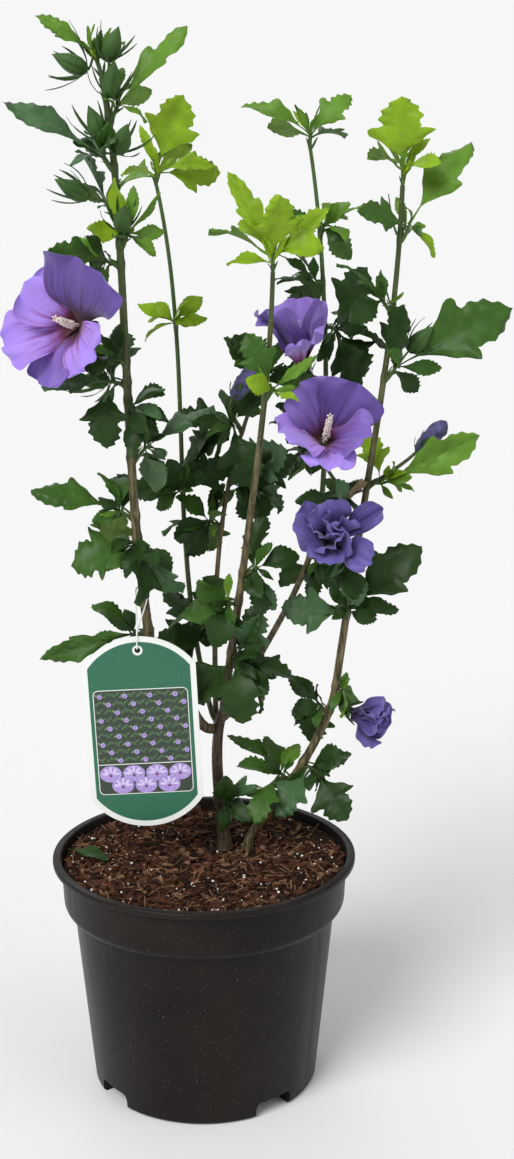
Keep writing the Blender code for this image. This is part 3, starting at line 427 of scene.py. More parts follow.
class Joined:
    """Many small shapes gathered as arrays for one mesh, with a material number for each face."""

    def __init__(self):
        self.points = []
        self.faces = []
        self.marks = []
        self.places = []
        self.count = 0

    def add(self, points, faces, marks=None, places=None):
        self.points.append(points)
        self.faces += [tuple(i + self.count for i in face) for face in faces]
        self.marks += marks or [0] * len(faces)
        if places is not None:
            self.places.append(places)
        self.count += len(points)

    def mesh(self, name, sharp_angle):
        data = bpy.data.meshes.new(name)
        data.from_pydata(np.concatenate(self.points).tolist(), [], self.faces)
        data.polygons.foreach_set("material_index", self.marks)
        if self.places:
            spots = np.concatenate(self.places)
            corners = np.empty(len(data.loops), np.int32)
            data.loops.foreach_get("vertex_index", corners)
            layer = data.uv_layers.new(name="across_and_along")
            layer.data.foreach_set("uv", spots[corners].astype(np.float32).ravel())
        data.update()
        data.shade_smooth()
        data.set_sharp_from_angle(angle=math.radians(sharp_angle))
        return data


def add_joined(name, joined, materials, stands_for=(), sharp_angle=50.0):
    """A piece made of many small shapes, joined into one mesh of its own name."""
    return add_piece(name, joined.mesh(name, sharp_angle), materials, stands_for)


def template(shape):
    """A small bmesh read as arrays: its points and its faces."""
    shape.verts.index_update()
    points = np.array([v.co for v in shape.verts])
    faces = [tuple(v.index for v in f.verts) for f in shape.faces]
    shape.free()
    return points, faces


def lump_template():
    """A small round body of twenty faces."""
    shape = bmesh.new()
    bmesh.ops.create_icosphere(shape, subdivisions=1, radius=1.0)
    return template(shape)


def chip_template():
    """A flat splinter with worn edges."""
    shape = bmesh.new()
    bmesh.ops.create_cube(shape, size=2.0)
    lengthwise = [e for e in shape.edges if abs(e.verts[0].co.x - e.verts[1].co.x) > 1]
    bmesh.ops.subdivide_edges(shape, edges=lengthwise, cuts=2, use_grid_fill=True)
    bmesh.ops.bevel(shape, geom=shape.edges[:], offset=0.25, affect="EDGES", segments=1, profile=0.5,
                    material=-1)
    return template(shape)


def scatter(draw, count, shape, sizes, sink, inmost):
    """Copies of a small shape, each with its own size, roughness and turn, laid on the mix by seed."""
    points, faces = shape
    found = Joined()
    for _ in range(count):
        radius = (SOIL_RADIUS - THROW_EDGE) * math.sqrt(draw.uniform(inmost, 1.0))
        turn = draw.uniform(0.0, math.tau)
        x, y = radius * math.cos(turn), radius * math.sin(turn)
        size = [draw.uniform(*span) for span in sizes]
        rough = np.array([1.0 + draw.uniform(-0.28, 0.28) for _ in range(len(points))])
        local = points * rough[:, None] * np.array(size)
        spin = Matrix.Rotation(draw.uniform(0, math.tau), 3, "Z")
        tilt = Matrix.Rotation(draw.gauss(0, 0.28), 3, "Y") @ Matrix.Rotation(draw.gauss(0, 0.28), 3, "X")
        local = local @ np.array(spin @ tilt).T
        z = soil_height(x, y) + size[2] * sink
        found.add(local + np.array((x, y, z)), faces)
    return found


peat = soil_material("moist_peat", (0.009, 0.004, 0.002), (0.030, 0.012, 0.006))
add_piece("potting_mix", mesh_from(soil_shape(), "potting_mix", 60.0), [peat], ["soil"])
throw = random.Random("potting mix")
lump = lump_template()
chip = chip_template()
# What is thrown: its name, how many, its shape, the spans of its three sizes, how far it stands out of
# the mix, how near the middle it starts, and its dark and light colours
SCATTERS = [
    ("crumbs_dark", 2600, lump, [(0.0007, 0.0022), (0.0007, 0.0018), (0.0005, 0.0013)], 0.3, 0.0,
     (0.007, 0.003, 0.002), (0.024, 0.010, 0.005)),
    ("crumbs_brown", 2200, lump, [(0.0007, 0.0024), (0.0006, 0.0018), (0.0005, 0.0012)], 0.4, 0.0,
     (0.025, 0.010, 0.005), (0.066, 0.026, 0.013)),
    ("bark_chips", 420, chip, [(0.0022, 0.0068), (0.0010, 0.0026), (0.0004, 0.0010)], 0.7, 0.0,
     (0.032, 0.011, 0.005), (0.090, 0.032, 0.016)),
    ("bark_chips_pale", 150, chip, [(0.0020, 0.0060), (0.0009, 0.0022), (0.0004, 0.0008)], 0.9, 0.0,
     (0.110, 0.050, 0.025), (0.220, 0.120, 0.066)),
    ("coir_fibres", 420, chip, [(0.0030, 0.0085), (0.00022, 0.00036), (0.00020, 0.00032)], 3.2, 0.0,
     (0.150, 0.075, 0.038), (0.260, 0.140, 0.075)),
    ("perlite", 210, lump, [(0.0005, 0.0014), (0.0005, 0.0013), (0.0004, 0.0010)], 0.9, 0.05,
     (0.62, 0.58, 0.52), (0.85, 0.83, 0.79)),
]
for title, count, shape, sizes, sink, inmost, dark, light in SCATTERS:
    laid = scatter(throw, count, shape, sizes, sink, inmost)
    add_joined(title, laid, [soil_material(title, dark, light)])


# The stems: woody limbs with bark relief, swollen where leaves and branches leave them, and green
# toward their tips. Each follows the source's cubic and meets its parent, the mix or its lower half.
GAP = 0.0003
FOOT_GAP = 1.3 * GAP
TWIG_FOOT = 0.0012
ROOT_FLARE = (1.35, 1.3, 1.1)
LIMB_STEPS = 64
LIMB_SIDES = 14

Limb = namedtuple("Limb", "name parent colour bend foot tip")
LIMBS = [
    Limb("trunk", "soil", "bark",
         ((0.016, 0.030, 0.170), (0.012, 0.030, 0.203), (0.005, 0.022, 0.255), (0.014, 0.020, 0.284)),
         0.0050, 0.0037),
    Limb("centre_stem", "trunk_tip", "bark",
         ((0.014, 0.020, 0.284), (0.033, -0.009, 0.425), (0.050, -0.026, 0.535), (0.051, -0.020, 0.615)),
         0.0034, 0.0016),
    Limb("left_stem_low", "trunk", "bark",
         ((0.009, 0.025, 0.228), (0.010, 0.020, 0.278), (-0.036, 0.004, 0.322), (-0.039, 0.000, 0.347)),
         0.0039, 0.0036),
    Limb("left_stem_high", "left_stem_low_tip", "bark",
         ((-0.039, 0.000, 0.347), (-0.056, -0.029, 0.485), (-0.046, -0.035, 0.658), (-0.063, -0.030, 0.742)),
         0.0036, 0.0021),
    Limb("thin_stem", "trunk", "twig",
         ((0.011, 0.028, 0.262), (-0.034, 0.070, 0.395), (-0.004, 0.068, 0.538), (-0.034, 0.070, 0.675)),
         0.0021, 0.0014),
    Limb("inner_stem", "trunk", "bark",
         ((0.010, 0.026, 0.244), (0.003, 0.076, 0.370), (0.010, 0.066, 0.450), (0.040, 0.066, 0.524)),
         0.0023, 0.0014),
    Limb("back_stem_low", "trunk", "bark",
         ((0.012, 0.024, 0.266), (0.039, 0.050, 0.327), (0.086, 0.090, 0.367), (0.091, 0.090, 0.436)),
         0.0026, 0.0022),
    Limb("back_stem_high", "back_stem_low_tip", "twig",
         ((0.091, 0.090, 0.436), (0.097, 0.090, 0.521), (0.091, 0.090, 0.636), (0.080, 0.090, 0.701)),
         0.0022, 0.0014),
    Limb("right_stem_low", "soil", "bark",
         ((0.0255, 0.029, 0.170), (0.045, 0.023, 0.197), (0.092, 0.038, 0.251), (0.100, 0.030, 0.299)),
         0.0034, 0.0031),
    Limb("right_stem_high", "right_stem_low_tip", "bark",
         ((0.100, 0.030, 0.299), (0.125, 0.011, 0.506), (0.140, 0.024, 0.555), (0.143, 0.020, 0.674)),
         0.0031, 0.0017),
]


def cubic(points, t):
    """The point of a cubic curve at a share of its run."""
    a, b, c, d = (Vector(p) for p in points)
    s = 1.0 - t
    return a * s**3 + b * (3 * s * s * t) + c * (3 * s * t * t) + d * t**3


def rounded_corner(start, corner, end, steps):
    """Points on a smooth bend that leaves start toward the corner and arrives at end from it."""
    found = []
    for k in range(steps):
        t = k / steps
        found.append(start * (1 - t) ** 2 + corner * (2 * t * (1 - t)) + end * t * t)
    return found


class Path:
    """A limb's centre line with its radius at each point."""

    def __init__(self, points, foot, tip):
        self.points = points
        run = [0.0]
        for a, b in zip(points, points[1:]):
            run.append(run[-1] + (b - a).length)
        self.run = run
        self.radii = [foot + (tip - foot) * r / run[-1] for r in run]

    def at_height(self, height):
        """Point, direction and radius where the limb passes a height."""
        rows = list(zip(self.points, self.points[1:], self.radii, self.radii[1:]))
        for a, b, ra, rb in rows:
            if a.z <= height <= b.z:
                share = (height - a.z) / (b.z - a.z)
                return a.lerp(b, share), (b - a).normalized(), ra + (rb - ra) * share
        a, b, ra, rb = rows[-1]
        return b, (b - a).normalized(), rb

    def end(self):
        return self.points[-1], (self.points[-1] - self.points[-2]).normalized(), self.radii[-1]


def away_from(point, axis_point, axis):
    """Unit vector from a limb's axis to a point, square to the axis."""
    out = point - axis_point
    return (out - axis * out.dot(axis)).normalized()


def way_round(axis, turn):
    """Unit vector square to an axis, at a turn round it."""
    side = axis.orthogonal().normalized()
    return side * math.cos(turn) + axis.cross(side) * math.sin(turn)


def limb_path(limb, paths):
    """A limb's points: a short rounded foot that meets its parent squarely, then the cubic."""
    line = [cubic(limb.bend, k / LIMB_STEPS) for k in range(LIMB_STEPS + 1)]
    if limb.parent.endswith("_tip"):
        end, along, _ = paths[limb.parent.removesuffix("_tip")].end()
        foot = end + along * GAP
        line = [foot + (p - line[0]) for p in line]
        head = [foot, foot + along * 0.002]
        first = next(k for k, p in enumerate(line) if (p - foot).length > 0.008)
    elif limb.parent == "soil":
        first = next(k for k, p in enumerate(line) if p.z > SOIL_LEVEL + 5 * limb.foot)
        along = (line[first] - line[first - 1]).normalized()
        corner = line[first] - along * (3 * limb.foot)
        foot = Vector((corner.x, corner.y, SOIL_LEVEL + GAP))
        head = [foot, *rounded_corner(foot + Vector((0.0, 0.0, TWIG_FOOT)), corner, line[first], 3)]
    else:
        parent = paths[limb.parent]
        clear = 3 * limb.foot + 0.002

        def outside(p):
            spot, axis, radius = parent.at_height(p.z)
            return (p - spot - axis * (p - spot).dot(axis)).length > radius + clear

        first = next(k for k, p in enumerate(line) if outside(p))
        along = (line[first] - line[first - 1]).normalized()
        corner = line[first] - along * (3 * limb.foot)
        spot, axis, radius = parent.at_height(corner.z)
        out = away_from(corner, spot, axis)
        foot = spot + out * (radius + FOOT_GAP)
        head = [foot, *rounded_corner(foot + out * TWIG_FOOT, corner, line[first], 3)]
    return Path([*head, *line[first:]], limb.foot, limb.tip)


@cache
def rod_template(sides, rings):
    """A capped rod by repeated extrusion: the turn and the ring of each point, and its faces."""
    shape = bmesh.new()
    turn = shape.verts.layers.float.new("turn")
    ring = shape.verts.layers.float.new("ring")
    bmesh.ops.create_circle(shape, cap_ends=True, segments=sides, radius=1.0)
    for vert in shape.verts:
        vert[turn] = math.atan2(vert.co.y, vert.co.x)
    face = shape.faces[:]
    for k in range(1, rings):
        grown = bmesh.ops.extrude_face_region(shape, geom=face)["geom"]
        face = [g for g in grown if isinstance(g, bmesh.types.BMFace)]
        for vert in (g for g in grown if isinstance(g, bmesh.types.BMVert)):
            vert[ring] = k
            vert.co.z = k
    bmesh.ops.recalc_face_normals(shape, faces=shape.faces)
    shape.verts.index_update()
    turns = np.array([v[turn] for v in shape.verts])
    rows = np.array([round(v[ring]) for v in shape.verts])
    faces = [tuple(v.index for v in f.verts) for f in shape.faces]
    shape.free()
    return turns, rows, faces


def rod(points, radii, sides, relief=None):
    """Points and faces of a rod along a line of points, which turns as little as it can on its way."""
    turns, rows, faces = rod_template(sides, len(points))
    centres = np.array(points)
    ahead = np.gradient(centres, axis=0)
    ahead /= np.linalg.norm(ahead, axis=1)[:, None]
    side = np.array(Vector(ahead[0]).orthogonal().normalized())
    sides_along = []
    for way in ahead:
        side = side - way * side.dot(way)
        side /= np.linalg.norm(side)
        sides_along.append(side)
    across = np.array(sides_along)
    up = np.cross(ahead, across)
    size = np.array(radii)[rows]
    if relief is not None:
        size = size * relief(turns, rows)
    out = across[rows] * np.cos(turns)[:, None] + up[rows] * np.sin(turns)[:, None]
    return centres[rows] + out * size[:, None], faces


def bark_material(name, low, high, green, green_from, green_to):
    """Bark that turns from brown to green as the stem rises, with lengthwise streaks and pale pores."""
    made = new_material(name, low, 0.50, Specular_IOR_Level=0.35)
    look = Finish(made)
    drawn_out = look.stretched((1.0, 1.0, 0.12))
    streaks = look.group(MOTTLE, drawn_out, Scale=420.0, Detail=3.0, Low=0.40, High=0.64)
    pores = look.group(MOTTLE, look.stretched((1.0, 1.0, 0.5)), Scale=620.0, Detail=1.0, Low=0.66, High=0.72)
    blotch = look.group(MOTTLE, Scale=45.0, Detail=2.0, Low=0.3, High=0.7)
    rise = look.between(look.part(look.place, "Z"), green_from, green_to)
    wood = look.blend(low, high, streaks)
    fresh = look.blend(green, toned(green, 1.5), blotch)
    stem = look.blend(wood, fresh, rise)
    look.colour(look.blend(stem, (0.26, 0.21, 0.13), look.between(pores, 0.0, 1.0, 0.0, 0.45)))
    look.relief(look.stretched((1.0, 1.0, 0.15)), Scale=900.0, Strength=0.5, Distance=0.0004)
    return made


def bark_relief(path, knots, name):
    """Lengthwise ridges, wrinkles and the swellings where twigs leave, as a share of the radius."""
    seed = sum(map(ord, name))

    def relief(turns, rows):
        run = np.array(path.run)[rows]
        found = 1.0 + 0.035 * np.sin(5 * turns + 40 * run + seed) + 0.020 * np.sin(9 * turns - 90 * run)
        found += 0.018 * np.sin(run * 1150 + 2.0 * np.sin(2 * turns))
        for knot in knots:
            found += 0.26 * np.exp(-((run - knot) / 0.0030) ** 2)
        return found

    return relief


FINE_SPACING = 0.0028


def resampled(path):
    """The same path with points close enough to carry relief."""
    fine = max(int(path.run[-1] / FINE_SPACING), 6)
    steps = np.linspace(0.0, path.run[-1], fine)
    columns = np.array(path.points)
    smooth = [np.interp(steps, path.run, columns[:, i]) for i in range(3)]
    made = Path([Vector(p) for p in zip(*smooth)], path.radii[0], path.radii[-1])
    made.radii = list(np.interp(steps, path.run, path.radii))
    return made


# The growth rule for foliage, as in the source: one mass of leaves, with the limb it grows from, the
# height of its foot (None at the tip), the way its own stem leaves and how far it goes, the tone of its
# leaves, its leading leaves, how many more the seeded rule adds, its buds, and its bloom.
Mass = namedtuple("Mass", "name limb height aim near stem tone leads more buds bloom", defaults=((), None))
Bloom = namedtuple("Bloom", "kind throat aim near petal")
MASSES = [
    Mass("left_leaves_1", "left_stem_high", 0.356, -106, 10, 0.014, "mid", [(-106, 10, 0.085, 0.7)], 2),
    Mass("left_leaves_2", "left_stem_high", 0.428, 175, 60, 0.014, "deep", [(175, 40, 0.060, 1.6)], 3),
    Mass("left_leaves_3", "left_stem_high", 0.445, -75, 15, 0.013, "mid",
         [(-75, 10, 0.077, 1.0), (-97, 25, 0.033, 0.9), (-42, -10, 0.042, 0.6)], 2),
    Mass("left_leaves_4", "left_stem_high", 0.487, 59, -5, 0.013, "grey", [(59, -10, 0.070, 0.85)], 3),
    Mass("left_leaves_5", "left_stem_high", 0.528, 150, 45, 0.012, "deep",
         [(172, 30, 0.045, 0.9), (118, 0, 0.034, 0.9)], 1),
    Mass("left_leaves_6", "left_stem_high", 0.541, -93, 0, 0.014, "grey", [(-93, 10, 0.062, 0.8)], 2,
         [(-92, -25, 0.042)]),
    Mass("left_bloom", "left_stem_high", 0.556, -60, 50, 0.014, "deep", [(-100, -5, 0.034, 0.7)], 0, [],
         Bloom("open", (-0.0809, -0.0550, 0.5813), -80, 68, 0.050)),
    Mass("left_leaves_7", "left_stem_high", 0.622, -84, 25, 0.013, "mid", [(-84, 25, 0.058, 0.9)], 1),
    Mass("left_leaves_8", "left_stem_high", 0.635, 40, 25, 0.012, "fresh",
         [(15, 10, 0.042, 0.7), (75, -10, 0.034, 0.8), (110, 20, 0.030, 0.8)], 1, [(14, 45, 0.038)]),
    Mass("left_leaves_9", "left_stem_high", 0.653, -45, -10, 0.012, "grey", [(-32, -15, 0.054, 1.1)], 0,
         [(-60, 10, 0.050)]),
    Mass("left_leaves_10", "left_stem_high", 0.686, -50, 20, 0.012, "grey", [(-61, 5, 0.083, 0.6)], 0,
         [(-22, 15, 0.044), (24, 40, 0.038)]),
    Mass("left_leaves_11", "left_stem_high", 0.718, 43, 10, 0.012, "fresh",
         [(43, 0, 0.078, 0.75), (100, 15, 0.030, 0.7)], 0, [(10, 25, 0.040)]),
    Mass("left_top", "left_stem_high", None, -15, 10, 0.016, "fresh",
         [(-48, 0, 0.060, 0.55), (-15, 10, 0.035, 0.45), (12, -10, 0.034, 0.45), (38, 15, 0.030, 0.5)], 0,
         [(-66, 20, 0.038), (24, 30, 0.040)]),
    Mass("thin_leaves_1", "thin_stem", 0.448, -30, 70, 0.012, "deep",
         [(-88, 15, 0.042, 1.0), (60, -10, 0.046, 1.0)], 6),
    Mass("thin_leaves_2", "thin_stem", 0.573, -10, 70, 0.012, "lime",
         [(45, 10, 0.032, 0.9), (-60, 15, 0.034, 0.9), (-115, 30, 0.030, 0.9)], 2),
    Mass("thin_top", "thin_stem", None, 5, 10, 0.012, "lime",
         [(18, 0, 0.068, 1.1), (-15, 10, 0.046, 0.5), (75, 10, 0.049, 0.7), (40, -25, 0.046, 0.8),
          (-75, 20, 0.030, 1.0)], 2),
    Mass("trunk_leaves", "trunk", 0.214, 100, 50, 0.012, "deep", [(115, 40, 0.036, 1.0)], 1),
    Mass("centre_leaves_1", "centre_stem", 0.336, 120, 50, 0.012, "deep",
         [(170, 35, 0.060, 1.3), (112, 15, 0.054, 1.1), (-140, 20, 0.050, 1.2), (30, 15, 0.046, 0.9)], 5),
    Mass("centre_leaves_2", "centre_stem", 0.377, -100, 25, 0.012, "mid",
         [(-100, 25, 0.048, 1.0), (-118, -15, 0.064, 1.2)], 3),
    Mass("centre_leaves_3", "centre_stem", 0.400, 75, 10, 0.012, "deep", [(75, 0, 0.044, 1.1)], 5),
    Mass("centre_leaves_4", "centre_stem", 0.530, 45, 40, 0.012, "fresh", [(49, 30, 0.055, 0.5)], 1),
    Mass("centre_top", "centre_stem", None, 0, 15, 0.012, "lime",
         [(5, 25, 0.057, 1.15), (-25, 0, 0.075, 0.65), (42, -10, 0.060, 0.7), (-80, 20, 0.036, 0.9)], 3),
    Mass("inner_leaves_1", "inner_stem", 0.345, -80, 30, 0.012, "deep",
         [(-50, 0, 0.052, 1.1), (-110, 10, 0.052, 1.1)], 7),
    Mass("inner_leaves_2", "inner_stem", 0.421, -70, 20, 0.012, "mid",
         [(-55, 10, 0.046, 1.0), (-100, 0, 0.052, 1.1)], 7),
    Mass("inner_leaves_3", "inner_stem", 0.455, 90, 10, 0.012, "deep",
         [(70, 0, 0.056, 1.1), (115, 25, 0.050, 1.2)], 5),
    Mass("inner_leaves_4", "inner_stem", 0.495, -60, 30, 0.012, "deep",
         [(-80, 20, 0.056, 1.1), (-120, 0, 0.050, 1.1), (170, 30, 0.050, 1.1)], 4, [],
         Bloom("rolled", (0.0230, 0.0360, 0.5230), 38, 10, 0.032)),
    Mass("inner_top", "inner_stem", None, 20, 10, 0.012, "mid",
         [(30, 10, 0.046, 0.9), (-30, 25, 0.050, 1.0), (85, -10, 0.050, 1.0)], 4),
    Mass("back_leaves_1", "back_stem_low", 0.395, 140, 10, 0.012, "deep",
         [(130, 10, 0.048, 1.0), (95, -30, 0.050, 1.0)], 4),
    Mass("back_leaves_2", "back_stem_high", 0.470, -70, -30, 0.012, "deep",
         [(-60, -20, 0.055, 1.0), (-110, -45, 0.050, 1.0)], 5),
    Mass("back_bloom", "back_stem_high", 0.508, -60, 50, 0.014, "deep", [(-120, 40, 0.040, 0.9)], 1, [],
         Bloom("narrow", (0.0730, 0.0400, 0.5475), -12, 12, 0.055)),
    Mass("back_leaves_3", "back_stem_high", 0.572, 110, 30, 0.012, "deep",
         [(152, 25, 0.060, 1.1), (108, 20, 0.054, 1.1), (60, 0, 0.040, 0.8)], 3),
    Mass("back_leaves_4", "back_stem_high", 0.605, -100, 50, 0.012, "deep",
         [(-60, 15, 0.042, 0.8), (-160, 20, 0.045, 0.9)], 3),
    Mass("back_leaves_5", "back_stem_high", 0.640, 20, 50, 0.012, "fresh",
         [(58, 10, 0.042, 0.7), (-70, 5, 0.032, 0.5)], 2),
    Mass("back_top", "back_stem_high", None, 0, 10, 0.012, "fresh",
         [(-60, 0, 0.064, 0.65), (38, 0, 0.052, 0.8), (15, -15, 0.041, 0.6), (-20, 15, 0.032, 0.5)], 2),
    Mass("right_leaves_1", "right_stem_low", 0.228, -65, 15, 0.012, "mid",
         [(-70, 20, 0.050, 1.0), (-60, -15, 0.062, 0.7)], 2),
    Mass("right_leaves_2", "right_stem_low", 0.242, 125, 30, 0.012, "deep",
         [(140, 30, 0.058, 1.3), (85, -10, 0.038, 0.9)], 2),
    Mass("right_leaves_3", "right_stem_low", 0.284, -60, 20, 0.012, "deep",
         [(-48, 10, 0.044, 0.9), (-110, 20, 0.032, 0.8)], 1),
    Mass("right_bloom_low", "right_stem_high", 0.304, 90, 40, 0.014, "mid", [(-160, 50, 0.026, 0.8)], 0, [],
         Bloom("closing", (0.1151, 0.0100, 0.2882), 95, 35, 0.033)),
    Mass("right_leaves_4", "right_stem_high", 0.362, 10, 60, 0.012, "deep",
         [(45, 10, 0.078, 1.2), (80, 25, 0.044, 0.9), (-35, 15, 0.026, 0.8), (-85, 20, 0.030, 0.8)], 1),
    Mass("right_bloom_middle", "right_stem_high", 0.402, -90, 40, 0.014, "deep",
         [(-72, -5, 0.040, 0.8)], 1, [],
         Bloom("half", (0.0950, -0.0060, 0.4240), 0, 62, 0.040)),
    Mass("right_bloom_high", "right_stem_high", 0.440, -50, 30, 0.014, "deep",
         [(-78, 20, 0.056, 0.8), (-100, -20, 0.045, 0.9)], 1, [],
         Bloom("cup", (0.0880, -0.0180, 0.4975), 10, 55, 0.049)),
    Mass("right_leaves_5", "right_stem_high", 0.462, 60, 20, 0.012, "fresh",
         [(66, 5, 0.090, 0.9), (75, 35, 0.038, 0.8), (100, 10, 0.036, 0.6)], 1, [],
         Bloom("rolled", (0.1580, 0.0180, 0.4858), 42, 10, 0.030)),
    Mass("right_leaves_6", "right_stem_high", 0.540, 50, 15, 0.012, "mid", [(62, 0, 0.104, 1.0)], 1,
         [(43, 10, 0.052)]),
    Mass("right_leaves_7", "right_stem_high", 0.588, -52, 5, 0.012, "mid", [(-52, 5, 0.054, 0.55)], 1),
    Mass("right_leaves_8", "right_stem_high", 0.638, 37, 5, 0.012, "fresh", [(37, 0, 0.083, 1.1)], 1),
    Mass("right_top", "right_stem_high", None, 0, 10, 0.010, "lime",
         [(-3, 15, 0.062, 1.4), (32, -10, 0.040, 0.6)], 2),
]

paths = {}
for limb in LIMBS:
    path = limb_path(limb, paths)
    if limb.parent == "soil":
        for k, flare in enumerate(ROOT_FLARE):
            path.radii[k] *= flare
    paths[limb.name] = path

BARKS = {
    "trunk": bark_material("trunk_bark", (0.032, 0.021, 0.012), (0.115, 0.078, 0.046),
                           (0.060, 0.050, 0.020), 0.30, 0.90),
    "low": bark_material("stem_bark", (0.045, 0.035, 0.014), (0.190, 0.150, 0.072),
                         (0.036, 0.058, 0.013), 0.42, 0.62),
    "green": bark_material("green_bark", (0.034, 0.042, 0.012), (0.085, 0.095, 0.030),
                           (0.040, 0.082, 0.016), 0.30, 0.60),
}
for limb in LIMBS:
    fine = resampled(paths[limb.name])
    knots = []
    for mass in MASSES:
        if mass.limb == limb.name and mass.height is not None:
            heights = [p.z for p in fine.points]
            knots.append(float(np.interp(mass.height - 0.001, heights, fine.run)))
    grown = Joined()
    grown.add(*rod(fine.points, fine.radii, LIMB_SIDES, bark_relief(fine, knots, limb.name)))
    kind = "trunk" if limb.name == "trunk" else "green" if limb.colour == "twig" else "low"
    add_joined(limb.name + "_bark", grown, [BARKS[kind]], [limb.name])


# Leaves: thin toothed blades with three lobes and a wedge-shaped base on a short stalk. Each is a bent
# sheet of an upper and a paler lower side, and its ribs are a mesh of their own in a lighter green.
LOBED_LEAF = np.array((
    (0.000, 0.000, 0.009), (0.200, 0.200, 0.010), (0.260, 0.270, 0.050), (0.360, 0.400, 0.150),
    (0.450, 0.545, 0.290), (0.490, 0.600, 0.320), (0.530, 0.620, 0.270), (0.565, 0.615, 0.185),
    (0.610, 0.640, 0.175), (0.700, 0.740, 0.200), (0.800, 0.835, 0.165), (0.900, 0.920, 0.095),
    (0.970, 0.975, 0.035), (1.000, 1.000, 0.004)))
SMALL_LEAF = np.array((
    (0.00, 0.00, 0.018), (0.14, 0.14, 0.018), (0.24, 0.25, 0.075), (0.38, 0.43, 0.170),
    (0.50, 0.57, 0.225), (0.62, 0.68, 0.215), (0.76, 0.80, 0.160), (0.90, 0.92, 0.080), (1.00, 1.00, 0.005)))
BRACT = np.array((
    (0.00, 0.00, 0.045), (0.20, 0.20, 0.055), (0.45, 0.45, 0.062), (0.70, 0.70, 0.052),
    (0.88, 0.88, 0.030), (1.00, 1.00, 0.004)))
LOBED_ROWS = np.concatenate(((0.0, 0.10, 0.19), np.linspace(0.23, 1.0, 31)))
SMALL_ROWS = np.concatenate(((0.0, 0.12), np.linspace(0.20, 1.0, 16)))
BRACT_ROWS = np.linspace(0.0, 1.0, 6)
TEETH = 8.5
LOBED_FROM = 0.040
LEAF_DROOP = 32.0
LEAF_FOLD = 14.0
LEAF_THICKNESS = 0.00026
BRACT_THICKNESS = 0.0003


@cache
def sheet_template(rows, columns):
    """A closed thin sheet: for each point its row, its place across and its side, and its faces."""
    shape = bmesh.new()
    bmesh.ops.create_grid(shape, x_segments=rows - 1, y_segments=columns, size=1.0)
    bmesh.ops.solidify(shape, geom=shape.faces[:], thickness=0.1)
    bmesh.ops.recalc_face_normals(shape, faces=shape.faces)
    points, faces = template(shape)
    middle = (points[:, 2].min() + points[:, 2].max()) / 2
    under = points[:, 2] < middle
    marks = [1 if all(under[i] for i in face) else 0 for face in faces]
    row = np.rint((points[:, 0] + 1) / 2 * (rows - 1)).astype(int)
    return row, points[:, 1], np.where(under, -1.0, 0.0), faces, marks


